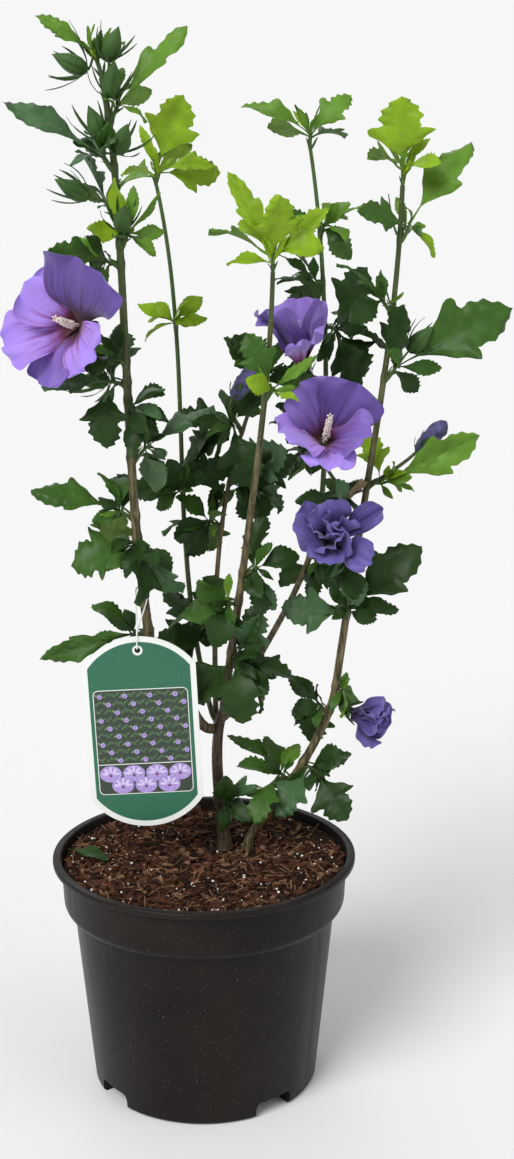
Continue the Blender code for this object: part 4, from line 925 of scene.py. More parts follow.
class Blade:
    """A leaf, bract or petal in space: its surface by rib share t and by b, from edge to edge."""

    def __init__(self, root, tip, normal, width, outline, droop, fold, twist=0.0, wave=0.0, phase=0.0,
                 lobing=1.0, quilt=0.0, ruffle=0.0, pleat=0.0, teeth=0.0, curl=0.0):
        chord = tip - root
        self.length = chord.length
        ahead = chord / self.length
        up = (normal - ahead * normal.dot(ahead)).normalized()
        self.ahead, self.up, self.side = (np.array(v) for v in (ahead, up, up.cross(ahead)))
        self.root = np.array(root)
        self.outline = outline
        self.width = width
        self.bend = math.radians(max(droop, 1.0))
        self.fold = math.tan(math.radians(fold))
        self.twist = math.radians(twist)
        self.wave = wave
        self.phase = phase
        self.lobing = lobing
        self.quilt = quilt
        self.ruffle = ruffle
        self.pleat = pleat
        self.teeth = teeth
        self.curl = curl

    def half_width(self, t, b):
        """Half the width at a share of the rib, as a share of the length, with the teeth of that side."""
        half = np.interp(t, self.outline[:, 0], self.outline[:, 2])
        oval = np.interp(t, (0.0, 0.20, 0.46, 0.80, 1.0), (0.01, 0.012, 0.24, 0.15, 0.004))
        lobed = oval + (half - oval) * self.lobing
        turn = np.pi * (TEETH * t + self.phase * 0.2 + 0.4 * (b > 0))
        toothed = np.interp(t, (0.30, 0.38, 0.96, 1.0), (0.0, 1.0, 1.0, 0.0))
        tooth = (1.0 - np.abs(np.cos(turn)) ** 1.6) * toothed
        return np.maximum(lobed + self.teeth * tooth, 0.004) * np.where(half > 0.03, self.width, 1.0)

    def at(self, t, b, lift=0.0):
        """Points at rib shares t and places across b, raised off the surface by lift in metres."""
        edge = np.interp(t, self.outline[:, 0], self.outline[:, 1])
        along = t + (edge - t) * np.abs(b) ** 1.4
        x = b * self.half_width(t, b) * self.length
        turn = self.bend * along - self.bend / 2
        forward = (np.sin(turn) + math.sin(self.bend / 2)) / self.bend
        rise = (np.cos(turn) - math.cos(self.bend / 2)) / self.bend
        height = np.abs(x) * self.fold * (1.0 - 0.45 * np.abs(b))
        swell = np.abs(b) * (1.0 - np.abs(b)) * 4.0
        height = height + self.length * self.quilt * swell * np.sin(30.0 * (t - 0.35 * np.abs(b)))
        height = height + self.length * self.wave * b * b * np.sin(10.5 * t + self.phase + 1.7 * (b > 0))
        height = height + self.length * self.ruffle * t**3 * np.sin(7.0 * b + self.phase)
        height = height + self.length * self.pleat * t * np.sin(19.0 * b + self.phase)
        height = height - self.length * self.curl * np.abs(b) ** 3 * np.clip(t - 0.25, 0.0, 1.0)
        turned = self.twist * along
        side = self.side * np.cos(turned)[:, None] + self.up * np.sin(turned)[:, None]
        up = self.up * np.cos(turned)[:, None] - self.side * np.sin(turned)[:, None]
        raised = up * np.cos(turn)[:, None] + self.ahead * np.sin(turn)[:, None]
        spine = self.ahead * forward[:, None] + self.up * rise[:, None]
        return self.root + self.length * spine + side * x[:, None] + raised * (height + lift)[:, None]

    def sheet(self, rows, columns, thickness):
        """The blade as a thin closed body, with its lower side marked and its UV places."""
        row, across, under, faces, marks = sheet_template(len(rows), columns)
        t = rows[row]
        places = np.stack([(across + 1) / 2, t], axis=1)
        return self.at(t, across, under * thickness), faces, marks, places

    def probe(self):
        """A coarse copy of the surface, to test whether the blade is in another's way."""
        rows = np.linspace(0.12, 0.98, 6)
        t, b = (g.ravel() for g in np.meshgrid(rows, (-0.92, -0.45, 0.0, 0.45, 0.92), indexing="ij"))
        points = [Vector(p) for p in self.at(t, b)]
        faces = []
        for r in range(5):
            for c in range(4):
                k = r * 5 + c
                faces.append((k, k + 1, k + 6, k + 5))
        return points, faces

    def rib(self, start, end, steps, thick, thin, bow=1.0):
        """A rib along the surface between two places on it, as a three-sided rod."""
        share = np.linspace(0.0, 1.0, steps)
        t = start[0] + (end[0] - start[0]) * share
        b = start[1] + (end[1] - start[1]) * share**bow
        centres = self.at(t, b, -LEAF_THICKNESS / 2)
        radii = thick + (thin - thick) * share
        return rod([Vector(p) for p in centres], radii, 3)


def direction(aim, near):
    """Unit vector for an aim and a near, both in degrees."""
    a = math.radians(aim)
    n = math.radians(near)
    return Vector((math.sin(a) * math.cos(n), -math.sin(n), math.cos(a) * math.cos(n)))


def facing(ahead, near, roll):
    """A leaf's upper side: up, turned part way to the viewer, or away for a leaf at the back."""
    toward = 0.75 if near > -15 else -0.35
    normal = Vector((0.0, -toward, 1.0 - abs(toward) * 0.6))
    return Matrix.Rotation(math.radians(roll), 3, ahead) @ normal


class Crowding:
    """Everything placed so far, asked whether a new piece would touch what another mass or part holds."""

    CLEARANCE = 0.0005

    def __init__(self):
        self.owners = []
        self.trees = []
        self.lows = []
        self.highs = []

    def add(self, owner, points, faces):
        corners = np.array(points)
        self.owners.append(owner)
        self.trees.append(BVHTree.FromPolygons([Vector(p) for p in points], faces))
        self.lows.append(corners.min(axis=0) - self.CLEARANCE)
        self.highs.append(corners.max(axis=0) + self.CLEARANCE)

    def free(self, owner, points, faces):
        """Whether a piece keeps clear of all that other owners hold."""
        corners = np.array(points)
        low, high = corners.min(axis=0), corners.max(axis=0)
        near = np.all((np.array(self.highs) >= low) & (np.array(self.lows) <= high), axis=1)
        own = None
        for k in np.nonzero(near)[0]:
            if self.owners[k] == owner:
                continue
            own = own or BVHTree.FromPolygons([Vector(p) for p in points], faces)
            if own.overlap(self.trees[k]):
                return False
            if any(self.trees[k].find_nearest(Vector(p), self.CLEARANCE)[0] is not None for p in points):
                return False
        return True


STEM_RADIUS = 0.0012
SIDE_RADIUS = 0.00096
STALK_SINK = 0.002
ROOT_SINK = 0.002
ROOT_SPACING = 0.0015
BUD_SHARE = 0.94
BUD_SINK = 0.001
YOUNG_EXTRA = 5
FINER_TRIES = 4
LEAD_TRIES = 9
LEAD_SWING = 9
FOLLOWER_TRIES = 6
FOLLOWER_SHARE = 0.9
FOLLOWER_LEAST = 0.030
FOLLOWER_MOST = 0.050
FOLLOWER_SHRINK = 0.92
FINER_COUNT = {"lime": 5, "fresh": 5, "mid": 7, "deep": 10, "grey": 6}
NARROW = 0.72
LONG_LEAF = 0.062
LONG_SHARE = 0.80
NARROW_SHARE = 0.80
CALYX_LENGTH = 0.015
CALYX_RADIUS = 0.0052
BUD_LENGTH = 0.027
BUD_RADIUS = 0.0062

# What each tone of mass deals its leaves out to, in the order of a seeded draw
DEALS = {
    "lime": ("lime", "lime", "lime", "fresh"),
    "fresh": ("fresh", "fresh", "lime", "mid"),
    "mid": ("mid", "mid", "mid", "deep", "deep", "fresh"),
    "deep": ("deep", "deep", "deep", "mid", "deep", "deep", "grey"),
    "grey": ("grey", "grey", "mid", "deep"),
}
TONES = ("lime", "fresh", "mid", "deep", "grey")
leaves = {tone: Joined() for tone in TONES}
ribs = {tone: Joined() for tone in TONES}
twigs = Joined()
bracts = Joined()
buds = Joined()
crowding = Crowding()
for node in ("pot", "soil", "label", "label_loop", *[limb.name for limb in LIMBS]):
    solid = frame["nodes"][node].data
    crowding.add(node, [v.co.copy() for v in solid.vertices], [tuple(p.vertices) for p in solid.polygons])


def smooth_rod(start, leave, end, arrive, radius, steps):
    """Points and radii of a twig that leaves straight along one direction and arrives along another."""
    first = start + leave * TWIG_FOOT
    reach = (end - first).length * 0.4
    bend = (first, first + leave * reach, end - arrive * reach, end)
    points = [start] + [cubic(bend, k / steps) for k in range(steps + 1)]
    return points, [radius] + [radius * (1.0 - 0.25 * k / steps) for k in range(steps + 1)]


def leaf_blade(root, tip, width, near, roll, look):
    """A leaf's blade, lobed if it is long enough, with its own twist, fold, curl and waves."""
    ahead = (tip - root).normalized()
    large = (tip - root).length > LOBED_FROM
    long = (tip - root).length > LONG_LEAF
    narrow = width <= NARROW
    lobing = look.uniform(*((0.10, 0.55) if narrow else (0.45, 0.75) if long else (0.85, 1.30)))
    width *= look.uniform(0.90, 1.10) * (NARROW_SHARE if narrow else LONG_SHARE if long else 1.0)
    fold = look.uniform(24, 46) if narrow else LEAF_FOLD + look.uniform(-6, 26)
    turn = 28 if long else 66
    return Blade(root, tip, facing(ahead, near, roll + look.uniform(-30, 30)), width,
                 LOBED_LEAF if large else SMALL_LEAF,
                 LEAF_DROOP + look.uniform(-20, 20 if long else 44), fold,
                 twist=look.uniform(-turn, turn), wave=look.uniform(0.014, 0.040),
                 phase=look.uniform(0.0, math.tau), lobing=lobing if large else 1.0,
                 quilt=look.uniform(0.003, 0.007),
                 teeth=look.uniform(*((0.024, 0.036) if long else (0.036, 0.056))),
                 curl=look.uniform(0.0, 0.12))


RIBS = ((0.20, 0.46, 0.93), (0.30, 0.41, 0.90), (0.42, 0.54, 0.80), (0.52, 0.68, 0.88), (0.66, 0.78, 0.86))


def add_leaf(blade, tone):
    """Adds a leaf's blade and its ribs to the leaves of its tone."""
    large = len(blade.outline) > len(SMALL_LEAF)
    rows, columns_across = (LOBED_ROWS, 6) if large else (SMALL_ROWS, 4)
    leaves[tone].add(*blade.sheet(rows, columns_across, LEAF_THICKNESS)[:3])
    scale = blade.length / 0.05
    thick = (0.00052 if large else 0.00062) * min(max(scale, 0.5), 1.3)
    ribs[tone].add(*blade.rib((0.0, 0.0), (0.96, 0.0), 12 if large else 8, thick, 0.00012))
    for start, end, across in RIBS if large else RIBS[:1]:
        for side in (-1, 1):
            ribs[tone].add(*blade.rib((start, 0.0), (end, across * side), 5, 0.00026 * scale, 0.00008, 0.8))


def grow_leaf(mass, root, tip, width, near, roll, look, tone):
    """Places a leaf where it is free, and says whether it did."""
    blade = leaf_blade(root, tip, width, near, roll, look)
    probe = blade.probe()
    if not crowding.free(mass.name, *probe):
        return False
    crowding.add(mass.name, *probe)
    add_leaf(blade, tone)
    return True


def add_bract(blade, columns_across=2):
    """Adds a narrow blade to the bracts and sepals."""
    bracts.add(*blade.sheet(BRACT_ROWS, columns_across, BRACT_THICKNESS)[:2])


def add_bud(foot, way, length, radius, look):
    """A bud whose five sepals close to a point, with the ring of long narrow bracts under it."""
    shares = np.linspace(0.0, 1.0, 13)
    girth = np.interp(shares, (0.0, 0.10, 0.25, 0.42, 0.60, 0.80, 0.93, 1.0),
                      (0.40, 0.74, 0.97, 1.0, 0.84, 0.48, 0.18, 0.03))
    body = rod([foot + way * (length * s) for s in shares], radius * girth, 20,
               lambda turns, rows: 1.0 + 0.11 * np.abs(np.cos(2.5 * turns)) - 0.05)
    buds.add(*body)
    for k in range(8):
        out = way_round(way, look.uniform(-0.28, 0.28) + math.tau * k / 8)
        root = foot + out * (radius * 0.38) + way * 0.0006
        spread = look.uniform(0.30, 0.85)
        tip = root + (way * math.cos(spread) + out * math.sin(spread)) * (length * look.uniform(0.85, 1.30))
        blade = Blade(root, tip, out, 0.72, BRACT, look.uniform(20, 70), 16.0, twist=look.uniform(-40, 40))
        add_bract(blade)


def mass_foot(mass):
    """Where a mass leaves its limb: the limb's axis point, the foot of its stem and the way it sets out."""
    path = paths[mass.limb]
    if mass.height is None:
        axis_point, along, _ = path.end()
        return axis_point, axis_point + along * GAP, along
    axis_point, along, radius = path.at_height(mass.height)
    out = away_from(axis_point + direction(mass.aim, mass.near), axis_point, along)
    return axis_point, axis_point + out * (radius + FOOT_GAP), out


def mass_stem(mass, axis_point, foot, leave):
    """The line of the source's stem for a mass: a flower's stalk, or the short stem of a tuft of leaves."""
    if mass.bloom:
        axis = direction(mass.bloom.aim, mass.bloom.near)
        reach = STALK_SINK if mass.bloom.kind == "rolled" else STALK_SINK - CALYX_LENGTH
        end = Vector(mass.bloom.throat) + axis * reach
        return smooth_rod(foot, leave, end, axis, STEM_RADIUS, 12)
    lean = direction(mass.aim, mass.near)
    return smooth_rod(foot, leave, axis_point + lean * mass.stem, lean, STEM_RADIUS, 6)


def sweeping_stem(mass, axis_point, foot, points):
    """The same stem as it looks: it parts from its limb at a sharp angle, a little below the foot."""
    if mass.height is None:
        return points, [STEM_RADIUS * 1.3] * len(points)
    _, along, radius = paths[mass.limb].at_height(mass.height)
    start = axis_point - along * (radius * 1.6) + (foot - axis_point) * 0.45
    reach = (points[-1] - start).length
    arrive = (points[-1] - points[-2]).normalized()
    set_out = (along * 0.75 + (foot - axis_point).normalized() * 0.65).normalized()
    bend = (start, start + set_out * reach * 0.35, points[-1] - arrive * reach * 0.35, points[-1])
    steps = 14 if mass.bloom else 8
    line = [cubic(bend, k / steps) for k in range(steps + 1)]
    return line, [STEM_RADIUS * (1.45 - 0.5 * k / steps) for k in range(steps + 1)]


begun = []
for mass in MASSES:
    axis_point, foot, leave = mass_foot(mass)
    points, _ = mass_stem(mass, axis_point, foot, leave)
    tip = points[4] if mass.bloom else points[-1]
    along = (tip - foot).normalized()
    look = random.Random(mass.name + " look")
    stem = rod(*sweeping_stem(mass, axis_point, foot, points), 7)
    twigs.add(*stem)
    crowding.add(mass.name, *stem)
    for k in range(2):
        out = direction(mass.aim + look.uniform(25, 60) * (1 - 2 * k), mass.near + look.uniform(-20, 20))
        stipule_tip = foot + (out + along * 0.8).normalized() * look.uniform(0.006, 0.011)
        stipule = Blade(foot - along * 0.001, stipule_tip, facing(out, mass.near, look.uniform(-40, 40)),
                        1.3, BRACT, 30.0, 10.0)
        add_bract(stipule)
    for aim, near, reach in mass.buds:
        way = direction(aim, near)
        bud_foot = axis_point + way * (reach - BUD_LENGTH)
        stalk_foot = tip - along * ROOT_SINK
        line, radii = smooth_rod(stalk_foot, along, bud_foot + way * BUD_SINK, way, SIDE_RADIUS, 6)
        stalk = rod(line, radii, 6)
        crowding.add(mass.name, *stalk)
        twigs.add(*stalk)
        add_bud(bud_foot, way, BUD_LENGTH * BUD_SHARE, BUD_RADIUS, look)
    begun.append((mass, axis_point, foot, tip, along, look))


# The blooms: five broad petals that overlap in a spiral, violet with red-violet veins that run out of
# a crimson eye, and a column of cream anthers. Each flower is a piece of its own, on a green calyx.
PETAL = np.array((
    (0.00, 0.00, 0.050), (0.06, 0.06, 0.070), (0.13, 0.13, 0.105), (0.20, 0.20, 0.150), (0.28, 0.28, 0.210),
    (0.36, 0.36, 0.275), (0.44, 0.44, 0.335), (0.52, 0.52, 0.385), (0.60, 0.60, 0.425), (0.68, 0.68, 0.450),
    (0.75, 0.745, 0.462), (0.81, 0.800, 0.460), (0.87, 0.850, 0.445), (0.92, 0.885, 0.415),
    (0.96, 0.910, 0.370), (1.00, 0.930, 0.310)))
PETAL_SINK = 0.004
PETAL_SEAT = 0.0008
PETAL_THICKNESS = 0.00035
PETAL_COLUMNS = 22
# How far the sepals spread from the axis behind the petals, in radians
SPREAD = {"open": 1.15, "cup": 1.0, "narrow": 0.75, "half": 1.0, "closing": 0.6, "rolled": 0.42}
COLUMN_LENGTH = 0.028
COLUMN_RADIUS = 0.0021
PETAL_ROWS = np.linspace(0.0, 1.0, 24)
# The petals of each kind of bloom: where each one stands round the axis, clockwise from the top as the
# viewer sees it, its size, how far it opens from the axis, its fold, its width, and how deep the painted
# shade is that darkens it where it lies in shadow or faces away from the light: 0 none, 1 half, 2 full
BLOOM_PETALS = {
    "open": [(26, 1.08, 57, 4, 1.34, 2), (136, 0.86, 50, 12, 1.08, 0), (203, 0.96, 70, 22, 0.84, 1),
             (252, 1.10, 66, 9, 0.84, 0), (312, 0.92, 60, 6, 1.02, 0)],
    "cup": [(-30, 1.00, 46, 8, 1.02, 1), (40, 1.04, 42, 10, 1.05, 2), (112, 0.92, 40, 22, 0.92, 1),
            (184, 0.86, 48, 14, 1.00, 0), (254, 0.94, 46, 12, 1.00, 0)],
    "narrow": [(190, 1.00, 24, 20, 0.92, 1), (120, 0.86, 50, 26, 0.80, 0), (40, 0.95, 26, 14, 0.95, 1),
               (-30, 0.95, 24, 14, 0.95, 0), (250, 0.92, 30, 22, 0.85, 1)],
    "half": [(345, 0.88, 42, 24, 1.00, 2), (62, 1.14, 58, 40, 0.46, 1), (128, 1.00, 58, 18, 0.68, 0),
             (200, 0.80, 46, 22, 0.95, 1), (282, 0.98, 50, 18, 1.05, 1)],
    "closing": [(30, 1.00, 20, 24, 1.00, 1), (120, 0.96, 16, 20, 1.00, 1), (215, 1.06, 42, 14, 0.80, 0),
                (300, 1.00, 20, 24, 1.00, 1)],
}
RECURVE = {"open": 40, "cup": 30, "narrow": 34, "half": 26, "closing": 12}
OVERLAP_ROLL = 9.0
# The inner petals of a bloom that is half closed: how many, their size, opening, fold and roll
INNER = {"half": (5, 0.72, 22, 40, 44), "closing": (5, 0.90, 11, 34, 34)}


def petal_material(name, body, edge, vein, eye, streak):
    """Petal colour by the piece's own UV map: crimson at the eye, veins that fade out, a bluer rim."""
    made = new_material(name, body, 0.55, Specular_IOR_Level=0.30, Sheen_Weight=0.25, Sheen_Roughness=0.5)
    look = Finish(made)
    places = look.node("ShaderNodeUVMap", uv_map="across_and_along").outputs["UV"]
    along = look.part(places, "Y")
    fan = look.stretched((26.0, 1.1, 1.0), places)
    veins = look.group(MOTTLE, fan, Scale=1.0, Detail=2.5, Low=0.50, High=0.57)
    fade = look.between(along, 0.24, 0.82, streak, 0.0)
    drawn = look.node("ShaderNodeMath", operation="MULTIPLY")
    look.link(veins, drawn.inputs[0])
    look.link(fade, drawn.inputs[1])
    cloud = look.group(MOTTLE, Scale=70.0, Detail=2.0, Low=0.30, High=0.70)
    blade = look.blend(body, edge, look.between(along, 0.45, 1.0))
    blade = look.blend(blade, toned(body, 0.80), look.between(cloud, 0.0, 1.0, 0.0, 0.5))
    blade = look.blend(blade, vein, drawn.outputs[0])
    halo = look.blend(vein, blade, look.between(along, 0.21, 0.44))
    look.colour(look.blend(eye, halo, look.between(along, 0.18, 0.29)))
    look.relief(look.stretched((60.0, 2.5, 1.0), places), Scale=1.0, Strength=0.35, Distance=0.0006)
    return made


# The petal finishes, one for each level of painted shade: the pale violet in full light, the same violet
# darkened as painted half shade and as painted shadow, and the closed blooms' own darker violet, which is
# darkened further as painted shade
PETAL_FINISHES = [
    petal_material("petal_pale", (0.400, 0.240, 0.760), (0.370, 0.240, 0.800), (0.190, 0.015, 0.120),
                   (0.060, 0.002, 0.014), 1.0),
    petal_material("petal_violet", (0.190, 0.105, 0.430), (0.220, 0.135, 0.510), (0.100, 0.008, 0.070),
                   (0.045, 0.001, 0.012), 1.0),
    petal_material("petal_shaded", (0.100, 0.055, 0.260), (0.130, 0.075, 0.340), (0.052, 0.006, 0.045),
                   (0.035, 0.001, 0.010), 1.0),
    petal_material("petal_closed", (0.070, 0.052, 0.225), (0.160, 0.125, 0.430), (0.026, 0.012, 0.080),
                   (0.020, 0.006, 0.050), 0.8),
]
CLOSED = 3


def bloom_blades(bloom, look):
    """The petals of a flower with their levels of painted shade, outer whorl first, each rolled to lie over
    the next.
    """
    axis = direction(bloom.aim, bloom.near)
    up = Vector((0.0, 0.0, 1.0))
    up = (up - axis * up.dot(axis)).normalized()
    right = up.cross(axis)
    throat = Vector(bloom.throat)
    petals = [(*petal, RECURVE[bloom.kind], OVERLAP_ROLL) for petal in BLOOM_PETALS[bloom.kind]]
    if bloom.kind in INNER:
        count, size, opening, fold, roll = INNER[bloom.kind]
        petals += [(31 + 360 * k / count, size, opening, fold, 1.0, 1 + k % 2, -28, roll)
                   for k in range(count)]
    found = []
    for clock, size, opening, fold, width, shade, recurve, roll in petals:
        turn = math.radians(clock)
        out = up * math.cos(turn) + right * math.sin(turn)
        o = math.radians(opening + look.uniform(-3, 3))
        ahead = axis * math.cos(o) + out * math.sin(o)
        inner = axis * math.sin(o) - out * math.cos(o)
        inner = Matrix.Rotation(math.radians(roll), 3, ahead) @ inner
        root = throat - axis * PETAL_SINK + out * PETAL_SEAT
        tip = root + ahead * (bloom.petal * size)
        found.append((shade, Blade(root, tip, inner, width, PETAL, max(recurve, 4), fold,
                                   twist=look.uniform(-15, 15), wave=look.uniform(0.045, 0.080),
                                   phase=look.uniform(0, math.tau), ruffle=look.uniform(0.036, 0.064),
                                   pleat=look.uniform(0.007, 0.013))))
    return found


ANTHERS = 190
GOLDEN_TURN = 2.4
columns = Joined()
anther = lump_template()


def add_column(bloom, look):
    """The staminal column: a tube with anthers on short filaments all round, and five stigma knobs."""
    throat = Vector(bloom.throat)
    axis = direction(bloom.aim, bloom.near)
    bow = Vector((0.0, 0.0, 1.0)).cross(axis).cross(axis).normalized() * -0.004
    line = [throat + axis * (COLUMN_LENGTH * s) + bow * (s * s) for s in np.linspace(-0.05, 1.0, 12)]
    girth = np.interp(np.linspace(0, 1, 12), (0.0, 0.3, 0.9, 1.0), (0.62, 0.55, 0.40, 0.25))
    columns.add(*rod(line, COLUMN_RADIUS * girth, 8))
    points, faces = anther
    for k in range(ANTHERS):
        s = 0.20 + 0.72 * (k / ANTHERS) ** 0.85
        out = way_round(axis, GOLDEN_TURN * k)
        foot = throat + axis * (COLUMN_LENGTH * s) + bow * (s * s)
        reach = look.uniform(0.0017, 0.0032) * (1.0 - 0.35 * s)
        end = foot + out * reach + axis * look.uniform(-0.0003, 0.0006)
        size = look.uniform(0.00044, 0.00068)
        columns.add(*rod([foot, foot.lerp(end, 0.5), end], [0.00014] * 3, 3))
        columns.add(points * size + np.array(end), faces)
    for k in range(5):
        out = way_round(axis, math.tau * k / 5)
        foot = throat + axis * COLUMN_LENGTH + bow
        end = foot + axis * 0.0022 + out * 0.0017
        columns.add(*rod([foot - axis * 0.001, foot.lerp(end, 0.5) + axis * 0.0003, end], [0.0003] * 3, 4))
        columns.add(points * 0.00075 + np.array(end), faces)


def add_calyx(base, axis, look, spread, length=CALYX_LENGTH, radius=CALYX_RADIUS):
    """A cup with five sepals that spread behind the petals, and a ring of narrow bracts under it."""
    girth = np.array((0.30, 0.62, 0.80, 0.86, 0.82, 0.70, 0.45))
    buds.add(*rod([base + axis * (length * s) for s in np.linspace(0.0, 0.70, 7)], radius * girth, 15,
                  lambda turns, rows: 1.0 + 0.05 * np.cos(5 * turns)))
    for k in range(5):
        out = way_round(axis, math.tau * k / 5)
        root = base + axis * (length * 0.40) + out * (radius * 0.62)
        tip = root + (axis * math.cos(spread) + out * math.sin(spread)) * (length * 0.85)
        blade = Blade(root, tip, out * math.cos(spread) - axis * math.sin(spread), 2.6, BRACT, 14.0, 12.0)
        add_bract(blade, 4)
    for k in range(8):
        out = way_round(axis, math.tau * (k + 0.5) / 8 + look.uniform(-0.2, 0.2))
        root = base + out * (radius * 0.25) + axis * 0.0006
        lean = (axis * 0.8 + out * look.uniform(0.4, 0.8)).normalized()
        tip = root + lean * (length * look.uniform(0.6, 0.95))
        blade = Blade(root, tip, out, 0.9, BRACT, 34.0, 10.0)
        add_bract(blade)


def rolled_bloom(bloom):
    """A spent flower, rolled shut along a spiral, dark and wrinkled."""
    throat = Vector(bloom.throat)
    axis = direction(bloom.aim, bloom.near)
    shares = np.linspace(0.0, 1.0, 34)
    girth = np.interp(shares, (0.0, 0.12, 0.45, 0.78, 0.93, 1.0), (0.55, 0.75, 1.0, 0.86, 0.50, 0.10))
    found = Joined()
    found.add(*rod([throat + axis * (bloom.petal * s) for s in shares], bloom.petal * 0.22 * girth, 24,
                   lambda turns, rows: 1.0 + 0.14 * np.sin(4 * turns + rows * 0.16)
                   + 0.06 * np.sin(9 * turns - rows * 0.4)))
    return found


for mass, axis_point, foot, tip, along, look in begun:
    bloom = mass.bloom
    if not bloom:
        continue
    axis = direction(bloom.aim, bloom.near)
    throat = Vector(bloom.throat)
    if bloom.kind == "rolled":
        spent = mottled("spent_petal_" + mass.limb, (0.035, 0.032, 0.110), 0.7, (0.022, 0.020, 0.075),
                        (0.075, 0.065, 0.190), dict(Scale=260.0, Detail=3.0, Low=0.35, High=0.65),
                        dict(Scale=500.0, Strength=0.6, Distance=0.0006), Sheen_Weight=0.2)
        made = rolled_bloom(bloom)
        add_joined(mass.limb + "_spent_bloom", made, [spent])
        crowding.add(mass.name, made.points[0], made.faces)
        add_calyx(throat - axis * 0.002, axis, look, SPREAD["rolled"], 0.014, 0.0046)
        continue
    petals = Joined()
    for number, (shade, blade) in enumerate(bloom_blades(bloom, look)):
        points, faces, _, places = blade.sheet(PETAL_ROWS, PETAL_COLUMNS, PETAL_THICKNESS)
        # A half-closed bloom takes the closed finish on every petal: its own darker violet with painted
        # shade
        shade = CLOSED if bloom.kind in INNER else shade
        petals.add(points, faces, [shade] * len(faces), places + np.array((float(number), 0.0)))
        crowding.add(mass.name, *blade.probe())
    add_joined(mass.name + "_petals", petals, PETAL_FINISHES, [mass.name], 80.0)
    add_calyx(throat - axis * CALYX_LENGTH, axis, look, SPREAD[bloom.kind])
    if bloom.kind not in INNER:
        add_column(bloom, look)


# The leaves grow: the leading leaves of every mass first, then the ones that follow, then finer ones,
# each skipped where it would touch a limb, a bloom, the label or another mass.
for mass, axis_point, foot, tip, along, look in begun:
    draw = random.Random(mass.name)
    for number, (aim, near, reach, width) in enumerate(mass.leads):
        root = tip - along * (ROOT_SINK / 2 + ROOT_SPACING * number)
        for tries in range(LEAD_TRIES):
            swing = (1 if tries % 2 else -1) * LEAD_SWING * ((tries + 1) // 2)
            leaf_tip = axis_point + direction(aim, near + swing) * reach
            roll = draw.uniform(-18, 18)
            if grow_leaf(mass, root, leaf_tip, width, near + swing, roll, look, mass.tone):
                break

for mass, axis_point, foot, tip, along, look in begun:
    draw = random.Random(mass.name + " more")
    longest = max([lead[2] for lead in mass.leads], default=0.0)
    size = min(max(longest * FOLLOWER_SHARE, FOLLOWER_LEAST), FOLLOWER_MOST)
    for number in range(mass.more):
        side = 1 if number % 2 else -1
        for _ in range(FOLLOWER_TRIES):
            aim = mass.aim + side * draw.uniform(35, 110)
            near = draw.uniform(-65, 45)
            length = size * draw.uniform(0.75, 1.1) * FOLLOWER_SHRINK**number
            root = foot.lerp(tip, draw.uniform(0.55, 0.9))
            leaf_tip = root + direction(aim, near) * length
            roll = draw.uniform(-25, 25)
            width = draw.uniform(0.9, 1.3)
            tone = look.choice(DEALS[mass.tone])
            if grow_leaf(mass, root, leaf_tip, width, near, roll, look, tone):
                break

for mass, axis_point, foot, tip, along, look in begun:
    draw = random.Random(mass.name + " finer")
    young = mass.height is None
    for _ in range(FINER_COUNT[mass.tone] + (YOUNG_EXTRA if young else 0)):
        for _ in range(FINER_TRIES):
            if young:
                aim, near = mass.aim + draw.uniform(-38, 38), draw.uniform(-35, 45)
                length, width = draw.uniform(0.010, 0.026), draw.uniform(0.35, 0.6)
            else:
                aim, near = mass.aim + draw.uniform(-120, 120), draw.uniform(-60, 60)
                length, width = draw.uniform(0.013, 0.036), draw.uniform(0.6, 1.1)
            root = foot.lerp(tip, draw.uniform(0.35, 0.98))
            leaf_tip = root + direction(aim, near) * length
            tone = look.choice(DEALS[mass.tone])
            if grow_leaf(mass, root, leaf_tip, width, near, draw.uniform(-40, 40), look, tone):
                break

# A leaf that fell on the mix, two dead twig ends and a dried bract on the right stem
fallen = Blade(Vector((-0.105, 0.009, 0.1778)), Vector((-0.072, -0.008, 0.1762)),
               Vector((0.1, -0.3, 1.0)), 0.62, SMALL_LEAF, 34.0, 12.0,
               twist=14.0, wave=0.035, phase=1.0, teeth=0.045)
add_leaf(fallen, "deep")
DEAD_TWIGS = (
    ((0.1395, 0.0180, 0.6400), (0.1355, 0.0145, 0.6500), (0.1325, 0.0120, 0.6680)),
    ((0.1385, 0.0190, 0.5880), (0.1345, 0.0160, 0.5945), (0.1315, 0.0150, 0.6050)),
)
for line in DEAD_TWIGS:
    twigs.add(*rod([Vector(p) for p in line], [0.0009, 0.0007, 0.0004], 6))
dried = Joined()
dry_leaf = Blade(Vector((0.1190, 0.0120, 0.4640)), Vector((0.1070, 0.0090, 0.4510)),
                 Vector((-0.4, -1.0, 0.4)), 3.4, BRACT, 60.0, 24.0, twist=50.0, wave=0.08)
dried.add(*dry_leaf.sheet(BRACT_ROWS, 6, BRACT_THICKNESS)[:2])


def leaf_material(name, colour, roughness, specular=0.2):
    """A leaf's green, with soft blotches, a satin gloss and a fine grain."""
    return mottled(name, colour, roughness, toned(colour, 0.80), toned(colour, 1.22),
                   dict(Scale=75.0, Detail=4.0, Low=0.30, High=0.70),
                   dict(Scale=650.0, Strength=0.30, Distance=0.0003),
                   (roughness - 0.06, roughness + 0.10), Specular_IOR_Level=specular)


